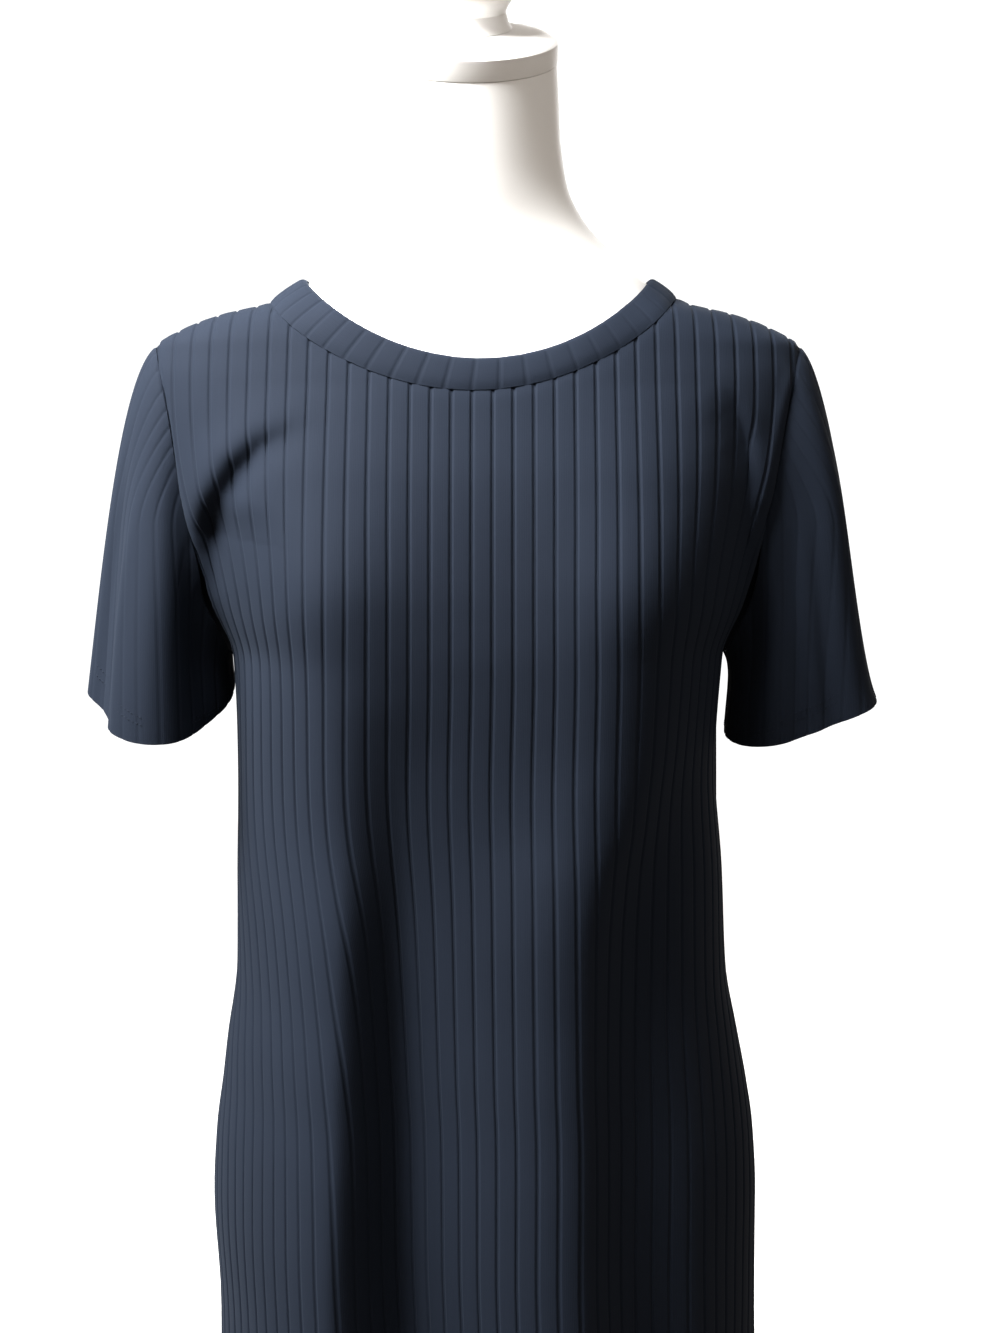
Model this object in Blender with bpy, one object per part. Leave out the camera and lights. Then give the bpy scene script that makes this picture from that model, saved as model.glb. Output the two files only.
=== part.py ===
"""Rib-knit T-shirt dress worn by a limbless dress form on a round-based stand.

Metres, +Z up, the front towards -Y and the wearer's left towards +X. The origin is the
centre of the base's underside, on the floor.

The dress is made as its maker cuts it: front, back, two sleeves and a neckband. Each
body panel is laid out flat first, with s the distance across from the centre line and t
the distance up the grain, is trimmed to its outline (hem, side seams, armholes,
shoulders, neckline), and is then carried onto the worn shape, a wall of cloth whose
outer points rise into flat ribs along the grain over a plain inside.
"""

import functools
import math
from collections import namedtuple

import bmesh
import bpy
import numpy as np
from mathutils.geometry import delaunay_2d_cdt

# ---------------------------------------------------------------- driving dimensions

HEM_Z = 0.470
UNDERARM_Z = 1.190
SHOULDER_TIP = (0.205, 1.385)  # x, z where shoulder seam, armhole and sleeve meet
NECK_HALF_WIDTH = 0.1285  # of the hole cut in the panels, at the shoulder seam
NECK_SHIFT = -0.0028
FRONT_NECK_Z = 1.3565  # at the centre front and the centre back
BACK_NECK_Z = 1.3920
NECKBAND_WIDTH = 0.0195
NECKBAND_FRONT_RISE = 0.0200  # how much higher the band's inner edge is
NECKBAND_BACK_RISE = 0.0155
NECK_CURVE = 0.85  # 0.5 is an ellipse, more is a shallower scoop at the sides
NECK_SKEW = 0.018  # the dress sits a little round to the wearer's left

RIB_PITCH = 0.0125
RIB_EDGE = 0.10  # share of the pitch from a channel's middle to a rib's flat top
RIB_OFFSETS = (0.0, RIB_EDGE, 1 - RIB_EDGE)  # channel middle, then the rib's two edges
FRONT_RIB_PHASE = -0.0025  # where the channel nearest the centre line lies
BACK_RIB_PHASE = 0.00625
CHANNEL_WALL = 0.0012
RIB_WALL = 0.0021
NECKBAND_WALL = 0.0026
NECKBAND_CHANNEL = 0.0007  # depth of the channels between the band's ribs
NECKBAND_SWELL = 0.0008  # how far the folded band's middle rises
NECKBAND_FOLD_EASE = 0.0006  # how much thinner the band is at its fold
SEAM_GAP = 0.0003
ARMHOLE_GAP = 0.0013

ARMHOLE_MID_Z = 0.5 * (UNDERARM_Z + SHOULDER_TIP[1])
ARMHOLE_HALF_HEIGHT = 0.5 * (SHOULDER_TIP[1] - UNDERARM_Z)
ARMHOLE_HALF_DEPTH = 0.046

NECKBAND_RIBS = 48
SLEEVE_RIBS = 26
SLEEVE_CAP_HEIGHT = 0.12
SLEEVE_HEM_HALF_DEPTH = 0.055
SLEEVE_OUT, SLEEVE_DOWN, SLEEVE_SPREAD = 0.79, 0.61, 0.30  # how it leaves the armhole
UNDERARM_OUT, UNDERARM_DOWN = 0.55, 0.86  # the same at the armhole's foot
UNDERARM_CLEAR = 0.0056  # how far the sleeve hangs off the side there
LEAVE_SHARE, UNDERARM_LEAVE, ARRIVE_SHARE = 0.125, 0.15, 0.36  # of the sleeve's length

FORM_BOTTOM_Z = 0.800
NECK_TOP = (-0.0045, -0.012, 1.562)  # x, y, z of the centre of the neck's sloping top
NECK_TOP_TILT = math.radians(23)
NECK_UP = np.array([0, -math.sin(NECK_TOP_TILT), math.cos(NECK_TOP_TILT)])
BUST_X, BUST_Z, BUST_HEIGHT = (-0.090, 0.094), 1.222, 0.022
BUST_SPREAD, BUST_FALL, BUST_CLIMB = 0.046, 0.038, 0.052
CAP_RADIUS = 0.0545
CAP_RIM = 0.013
CAP_DOME = 0.009
KNOB_RADIUS = 0.030
KNOB_MIDDLE = 0.0318  # height of the ball's centre over the cap
POLE_RADIUS = 0.0125
FLANGE_RADIUS = 0.038
FLANGE_THICKNESS = 0.006
BASE_RADIUS = 0.175
BASE_THICKNESS = 0.009

ARMHOLE_POINTS, SHOULDER_POINTS, NECK_POINTS = 26, 5, 24  # along each cut edge
FORM_STEPS = 28  # points round the torso

Finish = namedtuple("Finish", "colour roughness metallic")
NAVY_KNIT = Finish((0.030, 0.036, 0.050), 0.75, 0.0)
WHITE_SHELL = Finish((0.86, 0.86, 0.85), 0.45, 0.0)
STEEL = Finish((0.62, 0.62, 0.63), 0.35, 1.0)

# ------------------------------------------------------------ tables of the worn shape

# A level is half a ring of the body at z: half_width across, front and back its depths,
# power 2 for an ellipse and more for a squarer ring, shift how far to the left it sits.
Level = namedtuple("Level", "z half_width front back power shift")
Ridge = namedtuple("Ridge", "x height left_width right_width")
Crease = namedtuple("Crease", "path depth width")
Cuff = namedtuple("Cuff", "x z half_width outer_flare front_dip outer_rise lean hold flutes")
Flute = namedtuple("Flute", "angle height width")

GARMENT_LEVELS = [
    Level(0.470, 0.1900, 0.146, 0.150, 2.15, 0.0060),
    Level(0.640, 0.1820, 0.138, 0.145, 2.15, 0.0065),
    Level(0.760, 0.1775, 0.133, 0.142, 2.15, 0.0060),
    Level(0.830, 0.1790, 0.130, 0.140, 2.15, 0.0042),
    Level(0.875, 0.1765, 0.128, 0.138, 2.15, 0.0042),
    Level(0.905, 0.1722, 0.126, 0.136, 2.15, 0.0040),
    Level(0.940, 0.1665, 0.124, 0.132, 2.18, 0.0028),
    Level(0.985, 0.1592, 0.122, 0.128, 2.20, 0.0020),
    Level(1.050, 0.1570, 0.1215, 0.122, 2.22, 0.0010),
    Level(1.120, 0.1535, 0.1215, 0.118, 2.25, -0.0010),
    Level(1.190, 0.1565, 0.1205, 0.115, 2.30, 0.0),
    Level(1.226, 0.1730, 0.117, 0.116, 2.35, 0.0),
    Level(1.265, 0.1880, 0.1100, 0.116, 2.35, 0.0),
    Level(1.300, 0.1990, 0.101, 0.113, 2.35, 0.0),
    Level(1.340, 0.2080, 0.086, 0.103, 2.25, 0.0),
    Level(1.365, 0.2110, 0.076, 0.088, 2.10, 0.0),
    Level(1.385, 0.2050, 0.067, 0.072, 2.00, 0.0),
    Level(1.3965, 0.1860, 0.062, 0.064, 2.00, 0.0),
    Level(1.4045, 0.1640, 0.058, 0.058, 2.00, 0.0),
    Level(1.412, 0.1335, 0.054, 0.053, 2.00, 0.0),
    Level(1.4265, 0.1110, 0.050, 0.048, 2.00, 0.0),
    Level(1.450, 0.0800, 0.046, 0.044, 2.00, 0.0),
]

FORM_LEVELS = [
    Level(0.800, 0.1500, 0.102, 0.112, 2.1, 0.0030),
    Level(0.850, 0.1640, 0.108, 0.124, 2.1, 0.0030),
    Level(0.900, 0.1600, 0.106, 0.122, 2.1, 0.0025),
    Level(0.970, 0.1400, 0.098, 0.106, 2.1, 0.0015),
    Level(1.045, 0.1230, 0.088, 0.092, 2.1, 0.0010),
    Level(1.120, 0.1310, 0.094, 0.098, 2.1, 0.0),
    Level(1.190, 0.1450, 0.104, 0.105, 2.2, 0.0),
    Level(1.226, 0.1560, 0.107, 0.107, 2.2, 0.0),
    Level(1.265, 0.1690, 0.102, 0.107, 2.2, 0.0),
    Level(1.300, 0.1800, 0.092, 0.104, 2.2, 0.0),
    Level(1.340, 0.1890, 0.077, 0.093, 2.1, 0.0),
    Level(1.365, 0.1925, 0.067, 0.077, 2.0, 0.0),
    Level(1.380, 0.1890, 0.060, 0.066, 2.0, 0.0),
    Level(1.390, 0.1740, 0.056, 0.059, 2.0, 0.0),
    Level(1.404, 0.1330, 0.052, 0.051, 2.0, 0.0),
    Level(1.415, 0.1170, 0.050, 0.048, 2.0, 0.0),
    Level(1.428, 0.1065, 0.049, 0.048, 2.0, 0.0),
    Level(1.446, 0.0858, 0.050, 0.050, 2.0, -0.0005),
    Level(1.466, 0.0680, 0.051, 0.053, 2.0, -0.0010),
    Level(1.485, 0.0595, 0.053, 0.055, 2.0, -0.0020),
    Level(1.505, 0.0565, 0.054, 0.055, 2.0, -0.0028),
    Level(1.531, 0.0545, 0.054, 0.055, 2.0, -0.0038),
]
FORM_LEAN = [(0.80, 0.0), (1.42, 0.0), (1.485, -0.002), (1.562, -0.012)]

# Each ridge's place, height and two widths are read off against z. A crest that starts
# at the bust runs down into a hanging flute; a negative height is a trough.
FRONT_RIDGES = [
    Ridge(
        x=[
            (0.47, 0.068),
            (0.89, 0.062),
            (1.02, 0.064),
            (1.06, 0.069),
            (1.10, 0.080),
            (1.145, 0.093),
            (1.226, 0.098),
        ],
        height=[
            (0.47, 0.034),
            (0.80, 0.028),
            (1.02, 0.023),
            (1.10, 0.019),
            (1.226, 0.020),
            (1.30, 0.007),
            (1.36, 0.0),
        ],
        left_width=[(0.47, 0.060), (0.90, 0.055), (1.226, 0.048)],
        right_width=[(0.47, 0.030), (0.90, 0.026), (1.05, 0.028), (1.226, 0.040)],
    ),
    Ridge(
        x=[(0.47, -0.092), (0.81, -0.083), (1.00, -0.080), (1.08, -0.080), (1.226, -0.095)],
        height=[
            (0.47, 0.035),
            (0.80, 0.030),
            (1.02, 0.023),
            (1.10, 0.017),
            (1.226, 0.020),
            (1.30, 0.007),
            (1.36, 0.0),
        ],
        left_width=[(0.47, 0.050), (0.90, 0.048), (1.226, 0.040)],
        right_width=[(0.47, 0.026), (0.90, 0.024), (1.04, 0.026), (1.226, 0.048)],
    ),
    Ridge(
        x=[(0.47, -0.038), (0.81, -0.042), (1.08, -0.048)],
        height=[(0.47, -0.024), (0.90, -0.019), (1.02, -0.013), (1.10, -0.005), (1.17, 0.0)],
        left_width=[(0.47, 0.020), (0.95, 0.020), (1.08, 0.030)],
        right_width=[(0.47, 0.040), (1.08, 0.034)],
    ),
    Ridge(
        x=[(0.47, 0.138), (1.05, 0.128)],
        height=[(0.47, 0.016), (0.80, 0.008), (1.05, 0.0)],
        left_width=[(0.47, 0.018), (1.05, 0.018)],
        right_width=[(0.47, 0.022), (1.05, 0.022)],
    ),
    Ridge(
        x=[(0.47, -0.150), (1.00, -0.140)],
        height=[(0.47, 0.010), (0.80, 0.004), (1.00, 0.0)],
        left_width=[(0.47, 0.018), (1.00, 0.018)],
        right_width=[(0.47, 0.018), (1.00, 0.018)],
    ),
]

BACK_RIDGES = [
    Ridge(
        x=[(0.47, -0.088), (1.00, -0.075), (1.28, -0.080)],
        height=[(0.47, 0.032), (0.80, 0.020), (1.10, 0.011), (1.28, 0.009), (1.37, 0.0)],
        left_width=[(0.47, 0.032), (1.28, 0.045)],
        right_width=[(0.47, 0.030), (1.28, 0.045)],
    ),
    Ridge(
        x=[(0.47, 0.004), (1.05, 0.010)],
        height=[(0.47, 0.026), (0.80, 0.013), (1.05, 0.0)],
        left_width=[(0.47, 0.028), (1.05, 0.030)],
        right_width=[(0.47, 0.030), (1.05, 0.030)],
    ),
    Ridge(
        x=[(0.47, 0.098), (1.00, 0.082), (1.28, 0.080)],
        height=[(0.47, 0.030), (0.80, 0.021), (1.10, 0.011), (1.28, 0.009), (1.37, 0.0)],
        left_width=[(0.47, 0.030), (1.28, 0.045)],
        right_width=[(0.47, 0.034), (1.28, 0.045)],
    ),
    Ridge(
        x=[(0.47, 0.0), (1.25, 0.0)],
        height=[(0.47, -0.004), (0.95, -0.006), (1.10, -0.006), (1.30, 0.0)],
        left_width=[(0.47, 0.060), (1.25, 0.040)],
        right_width=[(0.47, 0.060), (1.25, 0.040)],
    ),
]

# Drag folds from the chest into each armpit, as x and z on the front.
FRONT_CREASES = [
    Crease(
        path=[
            (-0.092, 1.331),
            (-0.118, 1.327),
            (-0.139, 1.314),
            (-0.154, 1.294),
            (-0.164, 1.266),
            (-0.168, 1.236),
            (-0.166, 1.212),
        ],
        depth=0.014,
        width=0.0115,
    ),
    Crease(
        path=[(-0.104, 1.346), (-0.130, 1.341), (-0.150, 1.328), (-0.164, 1.308)],
        depth=-0.0040,
        width=0.0110,
    ),
    Crease(
        path=[(0.138, 1.344), (0.158, 1.325), (0.168, 1.295), (0.173, 1.262), (0.169, 1.225)],
        depth=0.010,
        width=0.0135,
    ),
]
BACK_CREASES = [
    Crease(
        path=[(-0.120, 1.318), (-0.150, 1.298), (-0.168, 1.268), (-0.170, 1.228)],
        depth=0.008,
        width=0.014,
    ),
    Crease(
        path=[(0.116, 1.316), (0.148, 1.300), (0.168, 1.270), (0.170, 1.230)],
        depth=0.008,
        width=0.014,
    ),
]

# The two sleeves, +1 the left and -1 the right. A flute's angle and width are in
# degrees round the hem from its outside, 0, by the front, 90, to the body, 180.
SLEEVE_SHAPES = {
    1: Cuff(
        x=0.2058,
        z=1.1483,
        half_width=0.0418,
        outer_flare=0.0035,
        front_dip=0.0083,
        outer_rise=0.0134,
        lean=0.42,
        hold=0.20,
        flutes=[
            Flute(angle=18, height=0.004, width=26),
            Flute(angle=62, height=-0.004, width=24),
            Flute(angle=118, height=0.003, width=26),
            Flute(angle=-60, height=-0.004, width=28),
        ],
    ),
    -1: Cuff(
        x=0.2055,
        z=1.1650,
        half_width=0.0435,
        outer_flare=0.0,
        front_dip=0.0272,
        outer_rise=0.0017,
        lean=0.14,
        hold=0.33,
        flutes=[
            Flute(angle=6, height=0.004, width=16),
            Flute(angle=38, height=-0.006, width=16),
            Flute(angle=84, height=0.005, width=26),
            Flute(angle=-70, height=-0.004, width=28),
        ],
    ),
}

# Where each piece has its rows of points: heights, or shares of the sleeve's length.
SIDE_SEAM_LEVELS = [HEM_Z, 0.60, 0.70, 0.76, 0.80, 0.83, 0.855, 0.88, 0.905, 0.93, 0.955]
SIDE_SEAM_LEVELS += [0.98, 1.01, 1.05, 1.09, 1.13, 1.16, 1.176, 1.184]
FRONT_ROWS = [HEM_Z, 0.60, 0.73, 0.83, 0.90, 0.965, 1.04, 1.11, 1.172]
FRONT_ROWS += [1.203 + 0.027 * k for k in range(10)]
BACK_ROWS = [HEM_Z, 0.62, 0.76, 0.87, 0.95, 1.04, 1.11, 1.172]
BACK_ROWS += [1.206 + 0.030 * k for k in range(9)]
SLEEVE_ROWS = [0, 0.10, 0.27, 0.50, 0.75, 1.0]
FORM_RINGS = [FORM_BOTTOM_Z, 0.805, 0.86, 0.92, 1.00, 1.08, 1.15, 1.19, 1.23, 1.27, 1.31]
FORM_RINGS += [1.345, 1.37, 1.385, 1.395, 1.405, 1.416, 1.43, 1.446, 1.466, 1.487, 1.515]

# ------------------------------------------------------------------- small mathematics


class Profile:
    """A smooth line through (place, value) rows that never overshoots them."""

    def __init__(self, rows):
        self.at, self.value = (np.array(column, float) for column in zip(*rows))
        step = np.diff(self.at)
        slope = np.diff(self.value) / step
        inner = np.zeros(len(self.at))
        same = slope[:-1] * slope[1:] > 0
        mean = 2 * slope[:-1] * slope[1:] / np.where(same, slope[:-1] + slope[1:], 1)
        inner[1:-1] = np.where(same, mean, 0)
        inner[0], inner[-1] = slope[0], slope[-1]
        self.slope = inner

    def __call__(self, at):
        at = np.clip(at, self.at[0], self.at[-1])
        i = np.clip(np.searchsorted(self.at, at) - 1, 0, len(self.at) - 2)
        step = self.at[i + 1] - self.at[i]
        u = (at - self.at[i]) / step
        return (
            self.value[i] * (1 + 2 * u) * (1 - u) ** 2
            + self.slope[i] * step * u * (1 - u) ** 2
            + self.value[i + 1] * u * u * (3 - 2 * u)
            + self.slope[i + 1] * step * u * u * (u - 1)
        )


def levels_as_profiles(levels):
    """The table's columns, each as a smooth line to be read at any z."""
    names = Level._fields[1:]
    columns = [Profile([(row.z, getattr(row, name)) for row in levels]) for name in names]
    return namedtuple("Levels", names)(*columns)


def smoothstep(u):
    u = np.clip(u, 0, 1)
    return u * u * (3 - 2 * u)


def unit(v):
    return v / np.maximum(np.linalg.norm(v, axis=-1, keepdims=True), 1e-12)


GARMENT = levels_as_profiles(GARMENT_LEVELS)
FORM = levels_as_profiles(FORM_LEVELS)


def ridge_relief(ridges, x, z):
    """How far the ridges raise the cloth at x and z, less what its troughs sink it."""
    total = 0.0 * x
    for ridge in ridges:
        away = x - Profile(ridge.x)(z)
        left, right = Profile(ridge.left_width)(z), Profile(ridge.right_width)(z)
        width = np.where(away < 0, left, right)
        total = total + Profile(ridge.height)(z) * np.exp(-((away / width) ** 2))
    return total


def crease_relief(creases, x, z):
    """How far each crease sinks the cloth: shallow where it starts, deep at the armpit."""
    total = 0.0 * x
    for crease in creases:
        path = np.array(crease.path)
        nearest = np.full(np.shape(x), 1e9)
        along = np.zeros(np.shape(x))
        for i, (start, end) in enumerate(zip(path[:-1], path[1:])):
            run = end - start
            u = ((x - start[0]) * run[0] + (z - start[1]) * run[1]) / (run @ run)
            u = np.clip(u, 0, 1)
            distance = np.hypot(x - start[0] - u * run[0], z - start[1] - u * run[1])
            closer = distance < nearest
            nearest = np.where(closer, distance, nearest)
            along = np.where(closer, (i + u) / (len(path) - 1), along)
        fade = smoothstep(along / 0.45) * (1 - 0.7 * smoothstep((along - 0.7) / 0.3))
        total = total - crease.depth * fade * np.exp(-((nearest / crease.width) ** 2))
    return total


# ------------------------------------------------------------------- the worn surface


class Side:
    """One body panel's worn surface, front (face -1) or back (face +1).

    Up to BLEND_Z, t is the height z and s the length of the section from the centre
    line. Above, t is stretched so that every column reaches the shoulder line, and x
    turns gradually from the place along the section to s itself.
    """

    BLEND_Z = 1.250  # above it the ribs turn to run straight over the shoulder
    RIDGE_EASE = 1.8  # crowds the rows where the cloth turns over the shoulder
    LEVELS = 260
    SAMPLES = 241
    GRAIN_STRETCH = 1.2  # length of cloth for each metre of height above BLEND_Z

    def __init__(self, face, depth, ridges, creases):
        self.face, self.depth, self.ridges, self.creases = face, depth, ridges, creases
        self.z = np.linspace(HEM_Z - 0.002, 1.449, self.LEVELS)
        turn = np.linspace(-0.5 * math.pi, 0.5 * math.pi, 2 * self.SAMPLES - 1)
        z = self.z[:, None]
        power = 2 / GARMENT.power(z)
        self.x = GARMENT.half_width(z) * np.sign(np.sin(turn)) * np.abs(np.sin(turn)) ** power
        self.y = self.depth_at(self.x, z)
        steps = np.hypot(np.diff(self.x, axis=1), np.diff(self.y, axis=1))
        arc = np.concatenate([np.zeros((self.LEVELS, 1)), np.cumsum(steps, axis=1)], axis=1)
        self.arc = arc - arc[:, [self.SAMPLES - 1]]
        crown = np.linspace(SHOULDER_TIP[1], 1.449, 200)
        self.crown_z, self.crown_x = crown, GARMENT.half_width(crown)

    def depth_at(self, x, z):
        """How far the cloth stands from the side plane, x from the ring's centre at z."""
        half = GARMENT.half_width(z)
        across = np.clip(np.abs(x) / half, 0, 1)
        power = GARMENT.power(z)
        relief = ridge_relief(self.ridges, x, z) + crease_relief(self.creases, x, z)
        return self.depth(z) * (1 - across**power) ** (1 / power) + relief * (1 - across**6)

    def crown(self, s):
        """Height of the shoulder line above s, carried on as a neck within the neckline."""
        return np.interp(-np.abs(s), -self.crown_x, self.crown_z)

    def seam_s(self, z, which):
        """Distance across to the side seam at height z: which is -1 or +1."""
        column = 0 if which < 0 else -1
        return np.interp(z, self.z, self.arc[:, column])

    def top_t(self, s):
        return self.BLEND_Z + self.GRAIN_STRETCH * (self.crown(s) - self.BLEND_Z)

    def height_of(self, s, t):
        crown = self.crown(s)
        left = np.clip(1 - (t - self.BLEND_Z) / (self.top_t(s) - self.BLEND_Z), 0, 1)
        eased = crown - (crown - self.BLEND_Z) * left**self.RIDGE_EASE
        # the eased spacing starts RIDGE_EASE times as fast, so it is blended in
        plain = crown - (crown - self.BLEND_Z) * left
        mix = smoothstep((1 - left) / 0.6)
        return np.where(t < self.BLEND_Z, t, plain + (eased - plain) * mix)

    def pattern_t(self, s, z):
        """The inverse of height_of, by bisection."""
        low, high = np.full(np.shape(s), self.z[0]), self.top_t(s) + 0.0
        for _ in range(50):
            middle = 0.5 * (low + high)
            below = self.height_of(s, middle) < z
            low, high = np.where(below, middle, low), np.where(below, high, middle)
        return 0.5 * (low + high)

    def _across(self, s, z):
        """x on the section at height z, a distance s along it from the centre line."""
        place = np.clip((z - self.z[0]) / (self.z[1] - self.z[0]), 0, self.LEVELS - 1.001)
        low = place.astype(int)
        share = place - low
        under, over = (
            np.array([np.interp(a, self.arc[i], self.x[i]) for a, i in zip(s, level)])
            for level in (low, low + 1)
        )
        return under * (1 - share) + over * share

    def across(self, s, z):
        section_x = self._across(s, z)
        turn = smoothstep((z - self.BLEND_Z) / np.maximum(self.crown(s) - self.BLEND_Z, 1e-6))
        limit = GARMENT.half_width(z)
        return np.clip(section_x * (1 - turn) + s * turn, -limit, limit)

    def point(self, s, t):
        s, t = np.asarray(s, float).ravel(), np.asarray(t, float).ravel()
        z = self.height_of(s, t)
        x = self.across(s, z)
        return np.stack([x + GARMENT.shift(z), self.face * self.depth_at(x, z), z], axis=1)

    def normal(self, s, t, reach=0.0012):
        """Outward direction, from short steps that stay inside the panel."""
        s, t = np.asarray(s, float).ravel(), np.asarray(t, float).ravel()
        t_high = np.minimum(t + reach, self.top_t(s) - 1e-5)
        z = self.height_of(s, t)
        left, right = (np.where(z < self.BLEND_Z, self.seam_s(z, w), w) for w in (-1, 1))
        s_low, s_high = np.maximum(s - reach, left + 1e-5), np.minimum(s + reach, right - 1e-5)
        along = self.point(s, t_high) - self.point(s, t_high - 2 * reach)
        over = self.point(s_high, t) - self.point(s_low, t)
        return unit(np.cross(over, along)) * -self.face


FRONT = Side(-1, GARMENT.front, FRONT_RIDGES, FRONT_CREASES)
BACK = Side(1, GARMENT.back, BACK_RIDGES, BACK_CREASES)

# -------------------------------------------------------------------- pattern outlines


def neck_level(side, x, width, shift, middle_z):
    """Height of a scooped neckline that starts and ends on the shoulder line."""
    left, right = side.crown(np.array([shift - width, shift + width]))
    scoop = np.clip(1 - (x / width) ** 2, 0, 1) ** NECK_CURVE
    shoulders = left + (right - left) * 0.5 * (1 + x / width)
    return shoulders - (0.5 * (left + right) - middle_z + NECK_SKEW * x) * scoop


@functools.cache
def armhole_edge(side, which, steps):
    """s and t along one armhole, shoulder tip to underarm. It is the line where the
    cloth stands as far from the body's side plane as an upright ellipse does."""
    angle = np.linspace(0.5 * math.pi, -0.5 * math.pi, steps)
    z = ARMHOLE_MID_Z + ARMHOLE_HALF_HEIGHT * np.sin(angle)
    stand = ARMHOLE_HALF_DEPTH * np.cos(angle)
    try_s = np.linspace(0.10, 0.26, 400)
    found = []
    for height, depth in zip(z, stand):
        limit = abs(side.seam_s(height, which)) if height < side.BLEND_Z else try_s[-1]
        s = try_s[try_s < limit]
        x = side.across(which * s, np.full(len(s), height))
        y = side.depth_at(x, height)
        found.append(np.interp(-depth, -y, s))
    s = np.array(found)
    s[0], s[-1] = SHOULDER_TIP[0], abs(side.seam_s(z[-1], which))
    t = side.pattern_t(which * s, z)
    t[0] = side.top_t(s[:1])[0]
    return which * s, t


def side_cut(side, which, gap):
    """The hem's corner and the side seam above it, up to just under the armhole."""
    z = np.array(SIDE_SEAM_LEVELS)
    return list(zip(side.seam_s(z, which) - which * 0.5 * gap, z))


def armhole_cut(side, which, gap):
    """The armhole from the underarm up to the shoulder tip."""
    s, t = armhole_edge(side, which, ARMHOLE_POINTS)
    s, t = s[::-1] - which * 0.5 * gap, t[::-1].copy()
    t[[0, -1]] -= 0.5 * gap
    return list(zip(s, t))


def shoulder_cut(side, which, gap):
    """The shoulder seam from the armhole to the neck hole."""
    neck = NECK_HALF_WIDTH + gap + which * NECK_SHIFT
    s = np.linspace(SHOULDER_TIP[0], neck, SHOULDER_POINTS)[1:]
    return list(zip(which * s, side.top_t(s) - 0.5 * gap))


def neck_cut(side, which, neck_z, gap):
    """Half of the neck hole, from the shoulder in to beside the centre line."""
    width = NECK_HALF_WIDTH + gap
    turn = np.linspace(0.5 * math.pi, 0, NECK_POINTS)[1:-1]
    from_middle = which * width * np.sin(turn)
    level = neck_level(side, from_middle, width, NECK_SHIFT, neck_z - gap)
    s = from_middle + NECK_SHIFT
    return list(zip(s, side.pattern_t(s, level)))


def outline(side, neck_z, gap):
    """The panel's cutting line as (s, t) points, anticlockwise from the hem's corner."""
    halves = []
    for which in (1, -1):
        half = side_cut(side, which, gap) + armhole_cut(side, which, gap)
        half += shoulder_cut(side, which, gap) + neck_cut(side, which, neck_z, gap)
        halves.append(half)
    middle = side.pattern_t(np.array([NECK_SHIFT]), neck_z - gap)[0]
    return halves[0] + [(NECK_SHIFT, middle)] + halves[1][::-1]


def crossings(loop, s):
    """Where the vertical line at s cuts the outline, lowest first: (place, t), the
    place being the cut edge's number plus the share of it already passed."""
    found = []
    for i, (a, b) in enumerate(zip(loop, loop[1:] + loop[:1])):
        if (a[0] < s) != (b[0] < s):
            share = (s - a[0]) / (b[0] - a[0])
            found.append((i + share, a[1] + share * (b[1] - a[1])))
    return sorted(found, key=lambda cut: cut[1])


def clear_of(loop, s, rows, clear):
    """The rows at which a point on the column at s keeps clear of the outline."""
    start = np.array(loop)
    run = np.roll(start, -1, axis=0) - start
    at = np.stack([np.full(len(rows), s), rows], axis=1)[:, None] - start
    along = np.clip((at * run).sum(-1) / (run * run).sum(-1), 0, 1)
    distance = np.linalg.norm(at - along[..., None] * run, axis=-1).min(axis=1)
    return [t for t, d in zip(rows, distance) if d > clear]


Flat = namedtuple("Flat", "points faces border")


def flat_mesh(loop, columns, rows, clear=0.003):
    """Triangles over the outline, with an edge up every column. The border lists the
    outline's points in order, each as its place round the outline and its number."""
    on_edge = [(float(i), point) for i, point in enumerate(loop)]
    lines = []
    for s in columns:
        cuts = crossings(loop, s)
        for low, high in zip(cuts[::2], cuts[1::2]):
            if high[1] - low[1] < 2 * clear:
                continue
            inside = clear_of(loop, s, [t for t in rows if low[1] < t < high[1]], clear)
            lines.append([(s, t) for t in (low[1], *inside, high[1])])
            on_edge += [(place, (s, t)) for place, t in (low, high)]
    on_edge.sort(key=lambda item: item[0])
    numbers = {}

    def number(point):
        key = (round(point[0], 7), round(point[1], 7))
        return numbers.setdefault(key, len(numbers))

    border = []
    for place, point in on_edge:
        i = number(point)
        if not border or border[-1][1] != i:
            border.append((place, i))
    edges = [(number(a), number(b)) for line in lines for a, b in zip(line[:-1], line[1:])]
    ring = [i for _, i in border]
    made = delaunay_2d_cdt(list(numbers), edges, [ring], 0, 1e-7, True)
    points, _, faces, point_source, _, face_source = made
    inside = [tuple(face) for face, source in zip(faces, face_source) if source]
    now = {old: new for new, source in enumerate(point_source) for old in source}
    return Flat(np.array(points), inside, [(place, now[i]) for place, i in border])


# ---------------------------------------------------------------------- making solids


def material(name, finish):
    made = bpy.data.materials.new(name)
    made.use_nodes = True
    shader = made.node_tree.nodes["Principled BSDF"]
    shader.inputs["Base Color"].default_value = (*finish.colour, 1)
    shader.inputs["Roughness"].default_value = finish.roughness
    shader.inputs["Metallic"].default_value = finish.metallic
    return made


def solid(name, mesh, finish, sharp_over=30):
    """Puts a mesh in the scene as one named sub-part with its own material."""
    mesh.shade_smooth()
    mesh.set_sharp_from_angle(angle=math.radians(sharp_over))
    obj = bpy.data.objects.new(name, mesh)
    bpy.context.scene.collection.objects.link(obj)
    obj.data.materials.append(material(name + "_finish", finish))
    return obj


def mesh_of(name, points, faces):
    mesh = bpy.data.meshes.new(name)
    mesh.from_pydata(points.tolist(), [], [tuple(map(int, face)) for face in faces])
    return mesh


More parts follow.
